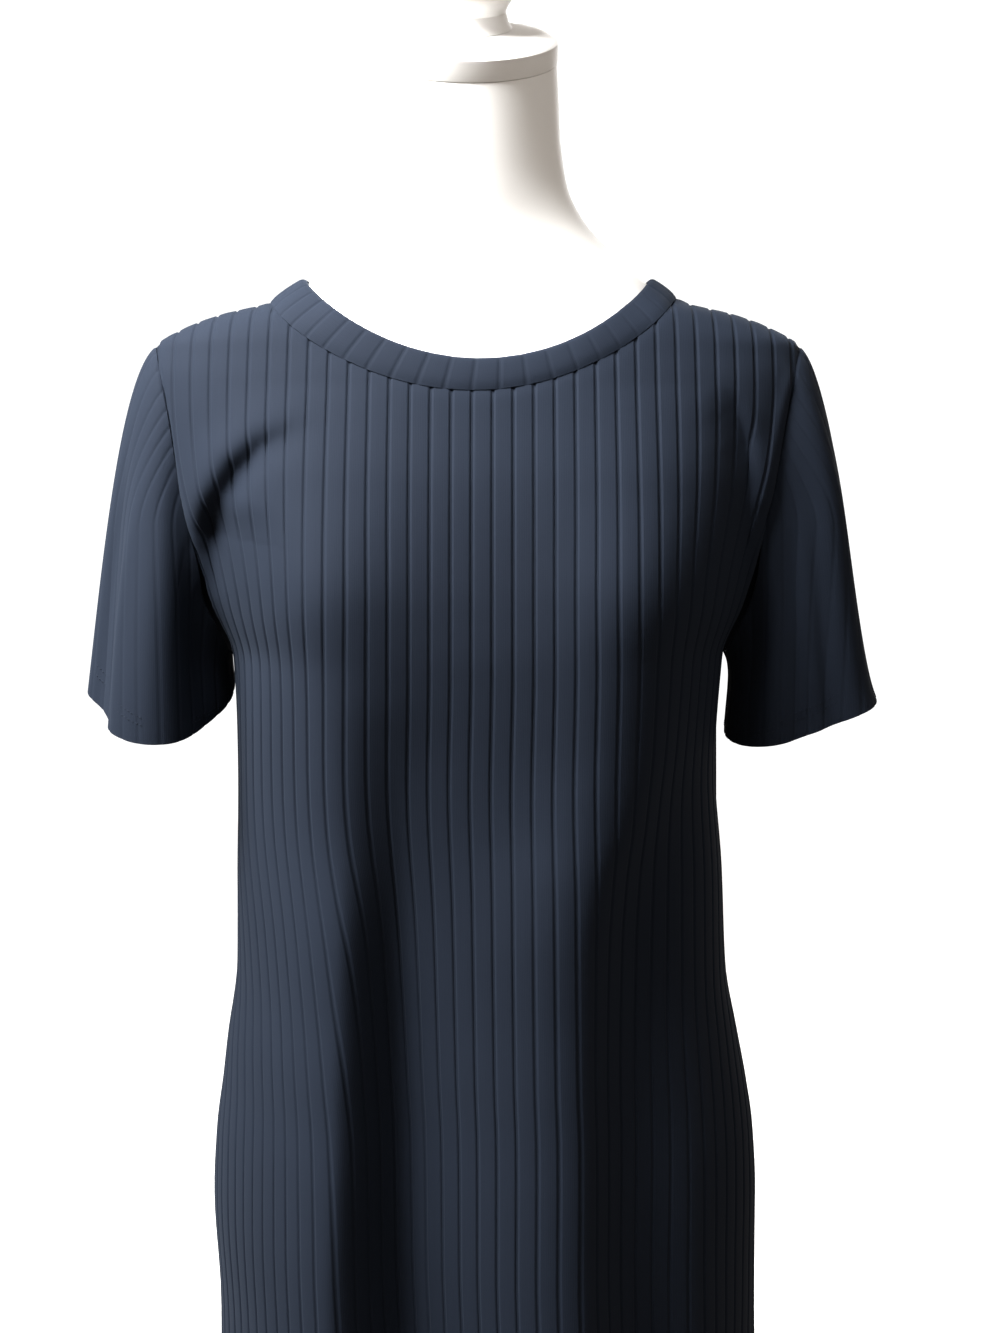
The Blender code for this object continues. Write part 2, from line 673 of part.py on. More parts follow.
def rib_columns(low, high, offsets, phase):
    """Where the columns at the offsets (in pitches) of every rib between low and high are."""
    ribs = range(math.floor((low - phase) / RIB_PITCH), math.ceil((high - phase) / RIB_PITCH) + 1)
    columns = [phase + (k + offset) * RIB_PITCH for k in ribs for offset in offsets]
    return [s for s in columns if low < s < high]


def wall_at(s, phase):
    """Cloth thickness across the ribs: thin in a channel, thick on a rib's flat top."""
    place = np.mod((np.asarray(s) - phase) / RIB_PITCH, 1.0)
    rise = np.minimum(np.minimum(place, 1 - place) / RIB_EDGE, 1)
    return CHANNEL_WALL + (RIB_WALL - CHANNEL_WALL) * rise


def rim_faces(outer, inner, outer_count):
    """Closes the edge between two borders, each a ring of (place, point number)."""
    at_inner = {round(place, 6): i for place, i in inner}
    first = next(k for k, (place, _) in enumerate(outer) if round(place, 6) in at_inner)
    ring = outer[first:] + outer[:first] + [outer[first]]
    anchor = outer_count + at_inner[round(ring[0][0], 6)]
    faces = []
    for (_, a), (place, b) in zip(ring[:-1], ring[1:]):
        faces.append((a, anchor, b))
        following = outer_count + at_inner.get(round(place, 6), anchor - outer_count)
        if following != anchor:
            faces.append((b, anchor, following))
            anchor = following
    return faces


def underarm_share(points):
    """1 at the foot of the armhole, where the sleeve hangs clear, and 0 above it."""
    return 1 - smoothstep((points[:, 2] - (UNDERARM_Z + 0.035)) / 0.05)[:, None]


def off_armhole(points):
    """Direction from the middle of the armhole out to points round its edge."""
    out = np.zeros_like(points)
    half_sizes = np.array([ARMHOLE_HALF_DEPTH, ARMHOLE_HALF_HEIGHT])
    out[:, 1:] = unit((points[:, 1:] - [0.0, ARMHOLE_MID_Z]) / half_sizes)
    return out


def armhole_meeting(points, normals):
    """Turns the wall's direction, near an armhole, halfway towards the sleeve's."""
    return unit(normals + off_armhole(points) * (1 - underarm_share(points)))


# ------------------------------------------------------------------------- body panels


def on_side_seams(side, flat):
    """The flat points, with those of the side seams set exactly on the curved seam."""
    points = flat.points.copy()
    edge = np.array([i for _, i in flat.border])
    level = points[edge, 1]
    edge = edge[(level > HEM_Z + 1e-5) & (level < UNDERARM_Z - 0.001)]
    for which in (1, -1):
        own = edge[points[edge, 0] * which > 0]
        points[own, 0] = side.seam_s(points[own, 1], which) - which * 0.5 * SEAM_GAP
    return points


def worn(side, flat, thickness):
    """Carries a flat mesh onto the body, each point moved out by its thickness."""
    s, t = on_side_seams(side, flat).T
    points, out = side.point(s, t), side.normal(s, t)
    for which in (1, -1):
        edge = np.stack(armhole_edge(side, which, 61))
        away = np.hypot(s[:, None] - edge[0], t[:, None] - edge[1]).min(axis=1)
        near = away < 0.0015
        out[near] = armhole_meeting(points[near], out[near])
    return points + out * thickness[:, None]


def panel(name, side, neck_z, phase, rows):
    """A body panel: ribbed outer skin, plain inner skin and the cut edge between them."""
    loop = outline(side, neck_z, SEAM_GAP)
    low, high = min(s for s, _ in loop), max(s for s, _ in loop)
    outer = flat_mesh(loop, rib_columns(low, high, RIB_OFFSETS, phase), rows)
    inner = flat_mesh(loop, rib_columns(low, high, RIB_OFFSETS[:1], phase), rows)
    count = len(outer.points)
    faces = outer.faces + [tuple(count + i for i in face[::-1]) for face in inner.faces]
    faces += rim_faces(outer.border, inner.border, count)
    if side.face > 0:
        faces = [face[::-1] for face in faces]
    skins = [worn(side, outer, wall_at(outer.points[:, 0], phase))]
    skins.append(worn(side, inner, np.zeros(len(inner.points))))
    return solid(name, mesh_of(name, np.concatenate(skins), faces), NAVY_KNIT)


# ------------------------------------------------------------------------------ sleeve


def armhole_loop(which, shares):
    """Points and panel normals round an armhole; shares run -1 (underarm, by the back)
    through 0 (shoulder tip) to 1 (underarm, by the front)."""
    points, normals = np.zeros((len(shares), 3)), np.zeros((len(shares), 3))
    for side, use in ((FRONT, shares >= 0), (BACK, shares < 0)):
        s, t = armhole_edge(side, which, 81)
        edge, out = side.point(s, t), side.normal(s, t)
        steps = np.linalg.norm(np.diff(edge, axis=0), axis=1)
        run = np.concatenate([[0], np.cumsum(steps)])
        at = np.abs(shares[use]) * run[-1]
        for axis in range(3):
            points[use, axis] = np.interp(at, run, edge[:, axis])
            normals[use, axis] = np.interp(at, run, out[:, axis])
    return points, unit(normals)


def sleeve_shares(across):
    """Share of the armhole passed when across (-1 to 1) of the sleeve's width is. The
    sleeve's cap is cut as a cosine, so its edge is longer where the cap is steep."""
    half_width = 0.5 * SLEEVE_RIBS * RIB_PITCH
    at = np.linspace(0, 1, 200)
    slope = SLEEVE_CAP_HEIGHT * 0.5 * math.pi / half_width * np.sin(math.pi * at)
    length = np.hypot(1, slope)
    run = np.concatenate([[0], np.cumsum(0.5 * (length[1:] + length[:-1]))])
    return np.sign(across) * np.interp(np.abs(across), at, run / run[-1])


def cuff_points(which, across):
    """The sleeve hem's ring, from the body round by the back, the outside and the front."""
    shape = SLEEVE_SHAPES[which]
    angle = across * math.pi  # 0 outside, +pi/2 front, pi against the body
    swell = 0.0 * angle
    for flute in shape.flutes:
        away = (np.degrees(angle) - flute.angle + 180) % 360 - 180
        swell = swell + flute.height * np.exp(-((away / flute.width) ** 2))
    outside, front = np.cos(angle), np.sin(angle)
    flare = shape.outer_flare * np.clip(outside, 0, 1) ** 4
    x = shape.x + (shape.half_width + swell) * outside + flare
    y = -(SLEEVE_HEM_HALF_DEPTH + swell) * front
    z = shape.z - shape.front_dip * np.clip(front, -0.3, 1) + shape.outer_rise * outside
    return np.stack([which * x, y, z], axis=1)


def sleeve_surface(which, across, down):
    """Rings of the sleeve at every down (0 armhole, 1 hem), a curve for each across. A
    curve leaves the armhole outwards and down, and reaches the hem hanging down."""
    outward, downward = np.array([which, 0, 0]), np.array([0, 0, -1.0])
    start, _ = armhole_loop(which, sleeve_shares(across))
    under = underarm_share(start)
    forward = off_armhole(start) * [0, 1, 0] * SLEEVE_SPREAD
    out_share = SLEEVE_OUT + (UNDERARM_OUT - SLEEVE_OUT) * under
    down_share = SLEEVE_DOWN + (UNDERARM_DOWN - SLEEVE_DOWN) * under
    leave = unit(outward * out_share + forward + downward * down_share)
    start = start + leave * ARMHOLE_GAP + outward * UNDERARM_CLEAR * under
    end = cuff_points(which, across)
    outside = np.clip(np.cos(across * math.pi), 0, 1)[:, None]
    arrive = unit(outward * SLEEVE_SHAPES[which].lean * outside + downward)
    length = np.linalg.norm(end - start, axis=1)[:, None]
    first = start + leave * length * (LEAVE_SHARE + UNDERARM_LEAVE * under)
    hold = ARRIVE_SHARE + (SLEEVE_SHAPES[which].hold - ARRIVE_SHARE) * outside
    last = end - arrive * length * hold
    v = down[:, None, None]
    near = (1 - v) ** 3 * start + 3 * v * (1 - v) ** 2 * first
    return near + 3 * v * v * (1 - v) * last + v**3 * end


def sleeve_skin(which, across, down, thickness):
    """The sleeve's surface, each point moved out by its thickness."""
    step = 1e-3
    below = np.minimum(down + step, 1)
    ahead = sleeve_surface(which, across + step, down)
    behind = sleeve_surface(which, np.maximum(across - step, -1), down)
    low, high = (sleeve_surface(which, across, row) for row in (below, below - 2 * step))
    out = unit(np.cross(ahead - behind, low - high)) * which
    start, body_out = armhole_loop(which, sleeve_shares(across))
    under = underarm_share(start)
    out[0] = unit(armhole_meeting(start, body_out) * (1 - under) + out[0] * under)
    return sleeve_surface(which, across, down) + out * thickness[:, None]


def sleeve(name, which):
    down = np.array(SLEEVE_ROWS)
    ribs = np.arange(SLEEVE_RIBS)[:, None]
    outer_across = (ribs + RIB_OFFSETS).ravel() / SLEEVE_RIBS * 2 - 1
    inner_across = ribs.ravel() / SLEEVE_RIBS * 2 - 1
    thickness = np.tile([CHANNEL_WALL, RIB_WALL, RIB_WALL], SLEEVE_RIBS)
    outer = sleeve_skin(which, outer_across, down, thickness)
    inner = sleeve_skin(which, inner_across, down, np.zeros(SLEEVE_RIBS))
    return ribbed_tube(name, outer, inner, flip=which > 0)


def skin_faces(rows, around, start):
    """Quads between the rings of one skin, its first point numbered start."""
    faces = []
    for low in range(start, start + (rows - 1) * around, around):
        for k in range(around):
            a, b = low + k, low + (k + 1) % around
            faces.append((a, a + around, b + around, b))
    return faces


def ring_joint(row, ribs, count):
    """Triangles between the two skins along one edge of a tube, three outer points to
    each inner one."""
    faces = []
    for k in range(ribs):
        ring = [row * 3 * ribs + (3 * k + j) % (3 * ribs) for j in range(4)]
        near, far = count + row * ribs + k, count + row * ribs + (k + 1) % ribs
        faces += [(near, ring[0], ring[1]), (near, ring[1], ring[2])]
        faces += [(near, ring[2], ring[3]), (near, ring[3], far)]
    return faces


def ribbed_tube(name, outer, inner, flip=False):
    """A tube wall from two grids of rings: outer has three points to a rib, inner one."""
    rows, ribs = inner.shape[:2]
    count = rows * 3 * ribs
    faces = skin_faces(rows, 3 * ribs, 0)
    faces += [face[::-1] for face in skin_faces(rows, ribs, count)]
    faces += ring_joint(0, ribs, count)
    faces += [face[::-1] for face in ring_joint(rows - 1, ribs, count)]
    if flip:
        faces = [face[::-1] for face in faces]
    points = np.concatenate([outer.reshape(-1, 3), inner.reshape(-1, 3)])
    return solid(name, mesh_of(name, points, faces), NAVY_KNIT)


# ---------------------------------------------------------------------------- neckband


def neck_ring(turns, width, shift, front_z, back_z):
    """Points and outward directions round the neck opening; turns run 0 to 2 pi, the
    first half along the front from the wearer's left to right, then back behind."""
    points, out = np.zeros((len(turns), 3)), np.zeros((len(turns), 3))
    before = turns < math.pi
    for side, middle_z, use in ((FRONT, front_z, before), (BACK, back_z, ~before)):
        from_middle = width * np.cos(turns[use])
        s, z = from_middle + shift, neck_level(side, from_middle, width, shift, middle_z)
        t = np.minimum(side.pattern_t(s, z), side.top_t(s) - 1e-4)
        points[use], out[use] = side.point(s, t), side.normal(s, t)
    return points, out


def neckband_rows(turns):
    """The band's outer edge, middle and inner edge, each as points and directions."""
    front, back = FRONT_NECK_Z, BACK_NECK_Z
    edge, edge_out = neck_ring(turns, NECK_HALF_WIDTH, NECK_SHIFT, front, back)
    front, back = front + NECKBAND_FRONT_RISE, back + NECKBAND_BACK_RISE
    inner, inner_out = neck_ring(turns, NECK_HALF_WIDTH - NECKBAND_WIDTH, 0.0, front, back)
    middle_out = unit(edge_out + inner_out)
    middle = 0.5 * (edge + inner) + NECKBAND_SWELL * middle_out
    return np.array([edge, middle, inner]), np.array([edge_out, middle_out, inner_out])


def neckband(name):
    """A folded strip round the neck opening, its ribs running across it."""
    ribs = np.arange(NECKBAND_RIBS)[:, None]
    outer_turns = (ribs + RIB_OFFSETS).ravel() / NECKBAND_RIBS * 2 * math.pi
    outer, out = neckband_rows(outer_turns)
    inner, _ = neckband_rows(ribs.ravel() / NECKBAND_RIBS * 2 * math.pi)
    channel = NECKBAND_WALL - NECKBAND_CHANNEL
    wall = np.tile([channel, NECKBAND_WALL, NECKBAND_WALL], NECKBAND_RIBS)
    thickness = np.array([wall, wall, wall - NECKBAND_FOLD_EASE])
    return ribbed_tube(name, outer + out * thickness[:, :, None], inner)


# -------------------------------------------------------------------------- dress form


def form_ring(z):
    """One level ring of the torso, its front raised over the bust."""
    turn = np.arange(FORM_STEPS) / FORM_STEPS * 2 * math.pi
    power = 2 / FORM.power(z)
    x = FORM.half_width(z) * np.sign(np.sin(turn)) * np.abs(np.sin(turn)) ** power
    depth = np.where(np.cos(turn) > 0, FORM.front(z), FORM.back(z))
    y = -depth * np.sign(np.cos(turn)) * np.abs(np.cos(turn)) ** power
    drop = (z - BUST_Z) / (BUST_FALL if z < BUST_Z else BUST_CLIMB)
    bust = 0.0
    for apex in BUST_X:
        bust = bust + BUST_HEIGHT * np.exp(-(((x - apex) / BUST_SPREAD) ** 2) - drop**2)
    y = y - bust * (np.cos(turn) > 0) + Profile(FORM_LEAN)(z)
    return np.stack([x + FORM.shift(z), y, np.full(FORM_STEPS, z)], axis=1)


def neck_top_ring():
    """The sloping round edge on which the neck cap sits."""
    turn = np.arange(FORM_STEPS) / FORM_STEPS * 2 * math.pi
    forward = np.array([0, -math.cos(NECK_TOP_TILT), -math.sin(NECK_TOP_TILT)])
    sideways = np.outer(np.sin(turn), [1, 0, 0])
    return np.array(NECK_TOP) + CAP_RADIUS * (sideways + np.outer(np.cos(turn), forward))


def form_torso(name):
    rings = [form_ring(z) for z in FORM_RINGS] + [neck_top_ring()]
    rings[0][:, :2] *= 0.98
    faces = []
    for low in range(0, (len(rings) - 1) * FORM_STEPS, FORM_STEPS):
        for k in range(FORM_STEPS):
            a, b = low + k, low + (k + 1) % FORM_STEPS
            faces.append((a, b, b + FORM_STEPS, a + FORM_STEPS))
    top = (len(rings) - 1) * FORM_STEPS
    faces += [range(FORM_STEPS)[::-1], range(top, top + FORM_STEPS)]
    return solid(name, mesh_of(name, np.concatenate(rings), faces), WHITE_SHELL, 50)


def turned(name, profile, finish, steps):
    """A solid of revolution about Z from (radius, height) points, bottom to top."""
    mesh = bmesh.new()
    line = [mesh.verts.new((r, 0, z)) for r, z in profile]
    edges = [mesh.edges.new(pair) for pair in zip(line[:-1], line[1:])]
    geometry = line + edges
    whole = 2 * math.pi
    bmesh.ops.spin(mesh, geom=geometry, axis=(0, 0, 1), cent=(0, 0, 0), angle=whole, steps=steps)
    bmesh.ops.remove_doubles(mesh, verts=mesh.verts, dist=1e-5)
    bmesh.ops.recalc_face_normals(mesh, faces=mesh.faces)
    data = bpy.data.meshes.new(name)
    mesh.to_mesh(data)
    mesh.free()
    return solid(name, data, finish, 35)


def neck_cap(name):
    """A shallow domed disc on the neck's sloping top. Returns its height."""
    rim = CAP_RADIUS + 0.0005
    dome = [
        (CAP_RADIUS * math.cos(a), CAP_RIM + CAP_DOME * math.sin(a))
        for a in np.linspace(0.2, 1.15, 4)
    ]
    height = dome[-1][1]
    profile = [(0, 0), (CAP_RADIUS - 0.001, 0), (rim, 0.0015), (rim, CAP_RIM), *dome, (0, height)]
    cap = turned(name, profile, WHITE_SHELL, 28)
    cap.rotation_euler = (NECK_TOP_TILT, 0, 0)
    cap.location = np.array(NECK_TOP) + NECK_UP * SEAM_GAP
    return height


def knob(name, cap_height):
    """A ball on a short waisted stem, standing on the neck cap."""
    angles = np.linspace(0.86, math.pi, 9)[1:-1]
    ball = [
        (KNOB_RADIUS * math.sin(a), KNOB_MIDDLE - KNOB_RADIUS * math.cos(a)) for a in angles
    ]
    stem = [(0, 0), (0.0265, 0), (0.0240, 0.004), (0.0225, 0.010)]
    profile = [*stem, *ball, (0, KNOB_MIDDLE + KNOB_RADIUS)]
    made = turned(name, profile, WHITE_SHELL, 20)
    made.rotation_euler = (NECK_TOP_TILT, 0, 0)
    made.location = np.array(NECK_TOP) + NECK_UP * (cap_height + 2 * SEAM_GAP)


def stand_pole(name):
    """A plain pole from the base up to a round flange under the torso."""
    foot = BASE_THICKNESS + SEAM_GAP
    height = FORM_BOTTOM_Z - SEAM_GAP - foot
    profile = [(0, 0), (POLE_RADIUS, 0), (POLE_RADIUS, height - 2 * FLANGE_THICKNESS)]
    profile += [(FLANGE_RADIUS, height - FLANGE_THICKNESS), (FLANGE_RADIUS, height), (0, height)]
    pole = turned(name, profile, STEEL, 16)
    pole.location = (0, 0, foot)


def stand_base(name):
    edge = BASE_RADIUS - 0.003
    rim = [(0, 0), (BASE_RADIUS - 0.001, 0), (BASE_RADIUS, 0.001)]
    rim += [(BASE_RADIUS, BASE_THICKNESS - 0.003), (edge, BASE_THICKNESS), (0, BASE_THICKNESS)]
    turned(name, rim, STEEL, 40)


def main():
    for obj in list(bpy.data.objects):
        bpy.data.objects.remove(obj)
    panel("front_panel", FRONT, FRONT_NECK_Z, FRONT_RIB_PHASE, FRONT_ROWS)
    panel("back_panel", BACK, BACK_NECK_Z, BACK_RIB_PHASE, BACK_ROWS)
    sleeve("sleeve_left", 1)
    sleeve("sleeve_right", -1)
    neckband("neckband")
    form_torso("form_torso")
    knob("form_knob", neck_cap("form_neck_cap"))
    stand_pole("stand_pole")
    stand_base("stand_base")


main()
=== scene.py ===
"""Looks of a rib-knit T-shirt dress on a limbless dress form.

Metres, +Z up, the front towards -Y and the wearer's left towards +X. Every piece is made
from its own sizes on the worn shape of its solid: finer ribs with soft channels, deeper
folds and creases, sewn seams, coverstitched hems and a knit surface.
"""

import functools
import math
from collections import namedtuple

import bpy
import numpy as np
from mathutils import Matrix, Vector
from mathutils.geometry import delaunay_2d_cdt


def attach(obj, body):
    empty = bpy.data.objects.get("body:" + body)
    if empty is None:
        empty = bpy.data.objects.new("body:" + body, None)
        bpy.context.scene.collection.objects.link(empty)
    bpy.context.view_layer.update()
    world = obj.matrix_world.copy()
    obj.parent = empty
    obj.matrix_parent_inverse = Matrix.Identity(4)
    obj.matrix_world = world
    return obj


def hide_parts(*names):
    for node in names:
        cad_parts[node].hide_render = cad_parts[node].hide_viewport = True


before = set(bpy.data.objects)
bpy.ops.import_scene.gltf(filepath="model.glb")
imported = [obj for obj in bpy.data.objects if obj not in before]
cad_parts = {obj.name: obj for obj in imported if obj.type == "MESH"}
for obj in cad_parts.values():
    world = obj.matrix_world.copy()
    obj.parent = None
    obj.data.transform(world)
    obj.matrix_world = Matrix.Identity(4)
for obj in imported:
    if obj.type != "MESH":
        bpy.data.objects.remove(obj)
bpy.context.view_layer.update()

# ---------------------------------------------------------------- driving dimensions

HEM_Z = 0.470
UNDERARM_Z = 1.190
SHOULDER_TIP = (0.205, 1.385)  # x, z where shoulder seam, armhole and sleeve meet
NECK_HALF_WIDTH = 0.1285  # of the hole cut in the panels, at the shoulder seam
NECK_SHIFT = -0.0028
FRONT_NECK_Z = 1.3565  # at the centre front and the centre back
BACK_NECK_Z = 1.3920
NECKBAND_WIDTH = 0.0195
NECKBAND_FRONT_RISE = 0.0200  # how much higher the band's inner edge is
NECKBAND_BACK_RISE = 0.0155
NECK_CURVE = 0.85  # 0.5 is an ellipse, more is a shallower scoop at the sides
NECK_SKEW = 0.018  # the dress sits a little round to the wearer's left

RIB_PITCH = 0.0125
FRONT_RIB_PHASE = -0.0025  # where the channel nearest the centre line lies
BACK_RIB_PHASE = 0.00625
CHANNEL_FLOOR = 0.0005  # half the width of a channel's flat floor
CHANNEL_HALF = 0.0016  # from a channel's middle to where the rib is full height
CHANNEL_DEPTH, SLEEVE_CHANNEL_DEPTH, BAND_CHANNEL_DEPTH = 0.00085, 0.00030, 0.00030
RIB_CROWN = 0.00012  # how much rounder than flat a rib's top is
RIB_OFFSETS = (0.0, 0.055, 0.095, 0.13, 0.18, 0.33, 0.5, 0.67, 0.82, 0.87, 0.905, 0.945)
CLOTH = 0.0021
NECKBAND_WALL = 0.0026
NECKBAND_SWELL = 0.0008  # how far the folded band's middle rises
NECKBAND_ROUND = 0.86  # share of the band's width where its fold starts to round over
NECKBAND_FOLD = 0.02  # square of the share of its thickness left at the fold
SEAM_SINK, SEAM_SPREAD = 0.0007, 0.0022  # how deep and wide a sewn edge dips
ARMHOLE_GAP = 0.0004
ARMHOLE_NEAR = 0.0015  # how near the armhole the wall turns towards the sleeve's
RIDGE_REACH, CREASE_REACH = 6, 14  # the higher, the nearer the side seams a form keeps its depth
CREASE_END, CREASE_END_LOSS = 0.2, 0.3  # last share of a crease, and what it loses there
ON_SEAM = 2e-5  # how near the side seam a point counts as sewn to it
ROUNDING = 1e-5  # added where two levels are compared, so that rounding can't turn the answer
EDGE_END = 0.001  # how near the end of a sewn edge its points belong to the next one
TOP_Z = 1.449  # the surfaces are worked out from the hem up to here

ARMHOLE_MID_Z = 0.5 * (UNDERARM_Z + SHOULDER_TIP[1])
ARMHOLE_HALF_HEIGHT = 0.5 * (SHOULDER_TIP[1] - UNDERARM_Z)
ARMHOLE_HALF_DEPTH = 0.046
ARMHOLE_SEARCH = (0.10, 0.26, 400)  # from and to how far across it is looked for, and steps

NECKBAND_RIBS = 48
SLEEVE_RIBS = 26
SLEEVE_CAP_HEIGHT = 0.12
SLEEVE_CUT_SHARE = 1.15  # a sleeve's longest cut length over its mean one
BACK_RISE = 0.3  # how far the hem rises behind, as a share of its dip in front
FOLD_GROWTH = 0.5  # share of the sleeve's length over which a fold comes to its full height
CAP_FOOT_Z = 1.270  # where the ribs start to close in over the cap
SLEEVE_LENGTH = 0.235
SLEEVE_HEM_HALF_DEPTH = 0.055
SLEEVE_OUT, SLEEVE_DOWN, SLEEVE_SPREAD = 0.79, 0.61, 0.30  # how it leaves the armhole
UNDERARM_OUT, UNDERARM_DOWN = 0.55, 0.86  # the same at the armhole's foot
UNDERARM_CLEAR = 0.0056  # how far the sleeve hangs off the side there
UNDERARM_TOP, UNDERARM_FADE = 0.035, 0.05  # height of the underarm, and of the change over it
LEAVE_SHARE, UNDERARM_LEAVE, ARRIVE_SHARE = 0.125, 0.15, 0.36  # of the sleeve's length

FORM_BOTTOM_Z = 0.800
NECK_TOP = (-0.0045, -0.012, 1.562)  # x, y, z of the centre of the neck's sloping top
NECK_JOIN_Z = 1.515  # where the level rings of the neck end and its sloping top begins
NECK_TOP_TILT = math.radians(23)
NECK_UP = np.array([0, -math.sin(NECK_TOP_TILT), math.cos(NECK_TOP_TILT)])
BUST_X, BUST_Z, BUST_HEIGHT = (-0.090, 0.094), 1.222, 0.022
BUST_SPREAD, BUST_FALL, BUST_CLIMB = 0.046, 0.038, 0.052
CAP_RADIUS = 0.0545
CAP_RIM = 0.013
CAP_DOME, CAP_DOME_ANGLE = 0.009, 1.15
CAP_OVERHANG, CAP_CHAMFER = 0.0005, 0.001
KNOB_STEM = [(0, 0), (0.0265, 0), (0.0240, 0.004), (0.0225, 0.010)]  # radius, height
KNOB_NECK_ANGLE = 0.86  # from straight down, where the ball leaves its stem
KNOB_RADIUS = 0.030
KNOB_MIDDLE = 0.0318  # height of the ball's centre over the cap
POLE_RADIUS = 0.0125
FLANGE_RADIUS = 0.038
FLANGE_THICKNESS = 0.006
BASE_RADIUS = 0.175
BASE_THICKNESS = 0.009
BASE_CHAMFER, BASE_ROUND = 0.001, 0.003

ARMHOLE_POINTS, SHOULDER_POINTS, NECK_POINTS = 64, 12, 60  # along each cut edge
FORM_STEPS, FORM_RINGS, NECK_RINGS = 96, 120, 9  # round the torso, up it and up its neck
FORM_FOOT_SHARE = 0.985  # size of the lowest ring, drawn in to soften its edge

# ------------------------------------------------------------ tables of the worn shape

# A level is half a ring of the body at z: half_width across, front and back its depths,
# power 2 for an ellipse and more for a squarer ring, shift how far to the left it sits.
Level = namedtuple("Level", "z half_width front back power shift")
Ridge = namedtuple("Ridge", "x height left_width right_width")
Crease = namedtuple("Crease", "path depth inner_width outer_width starts", defaults=[0.35])
Cuff = namedtuple("Cuff", "x z half_width outer_flare front_dip outer_rise lean hold flutes")
Flute = namedtuple("Flute", "angle height width")
Fold = namedtuple("Fold", "top_angle hem_angle height width starts")

GARMENT_LEVELS = [
    Level(0.470, 0.1900, 0.146, 0.150, 2.15, 0.0060),
    Level(0.640, 0.1820, 0.138, 0.145, 2.15, 0.0065),
    Level(0.760, 0.1775, 0.133, 0.142, 2.15, 0.0060),
    Level(0.830, 0.1790, 0.130, 0.140, 2.15, 0.0042),
    Level(0.875, 0.1765, 0.128, 0.138, 2.15, 0.0042),
    Level(0.905, 0.1722, 0.126, 0.136, 2.15, 0.0040),
    Level(0.940, 0.1665, 0.124, 0.132, 2.18, 0.0028),
    Level(0.985, 0.1592, 0.122, 0.128, 2.20, 0.0020),
    Level(1.050, 0.1570, 0.1215, 0.122, 2.22, 0.0010),
    Level(1.120, 0.1535, 0.1215, 0.118, 2.25, -0.0010),
    Level(1.190, 0.1565, 0.1205, 0.115, 2.30, 0.0),
    Level(1.226, 0.1730, 0.117, 0.116, 2.35, 0.0),
    Level(1.265, 0.1880, 0.1100, 0.116, 2.35, 0.0),
    Level(1.300, 0.1990, 0.101, 0.113, 2.35, 0.0),
    Level(1.340, 0.2080, 0.086, 0.103, 2.25, 0.0),
    Level(1.365, 0.2110, 0.076, 0.088, 2.10, 0.0),
    Level(1.385, 0.2050, 0.067, 0.072, 2.00, 0.0),
    Level(1.3965, 0.1860, 0.062, 0.064, 2.00, 0.0),
    Level(1.4045, 0.1640, 0.058, 0.058, 2.00, 0.0),
    Level(1.412, 0.1335, 0.054, 0.053, 2.00, 0.0),
    Level(1.4265, 0.1110, 0.050, 0.048, 2.00, 0.0),
    Level(1.450, 0.0800, 0.046, 0.044, 2.00, 0.0),
]

FORM_LEVELS = [
    Level(0.800, 0.1500, 0.102, 0.112, 2.1, 0.0030),
    Level(0.850, 0.1640, 0.108, 0.124, 2.1, 0.0030),
    Level(0.900, 0.1600, 0.106, 0.122, 2.1, 0.0025),
    Level(0.970, 0.1400, 0.098, 0.106, 2.1, 0.0015),
    Level(1.045, 0.1230, 0.088, 0.092, 2.1, 0.0010),
    Level(1.120, 0.1310, 0.094, 0.098, 2.1, 0.0),
    Level(1.190, 0.1450, 0.104, 0.105, 2.2, 0.0),
    Level(1.226, 0.1560, 0.107, 0.107, 2.2, 0.0),
    Level(1.265, 0.1690, 0.102, 0.107, 2.2, 0.0),
    Level(1.300, 0.1800, 0.092, 0.104, 2.2, 0.0),
    Level(1.340, 0.1890, 0.077, 0.093, 2.1, 0.0),
    Level(1.365, 0.1925, 0.067, 0.077, 2.0, 0.0),
    Level(1.380, 0.1890, 0.060, 0.066, 2.0, 0.0),
    Level(1.390, 0.1740, 0.056, 0.059, 2.0, 0.0),
    Level(1.404, 0.1330, 0.052, 0.051, 2.0, 0.0),
    Level(1.415, 0.1170, 0.050, 0.048, 2.0, 0.0),
    Level(1.428, 0.1065, 0.049, 0.048, 2.0, 0.0),
    Level(1.446, 0.0858, 0.050, 0.050, 2.0, -0.0005),
    Level(1.466, 0.0680, 0.051, 0.053, 2.0, -0.0010),
    Level(1.485, 0.0595, 0.053, 0.055, 2.0, -0.0020),
    Level(1.505, 0.0565, 0.054, 0.055, 2.0, -0.0028),
    Level(1.531, 0.0545, 0.054, 0.055, 2.0, -0.0038),
]
FORM_LEAN = [(0.80, 0.0), (1.42, 0.0), (1.485, -0.002), (1.562, -0.012)]

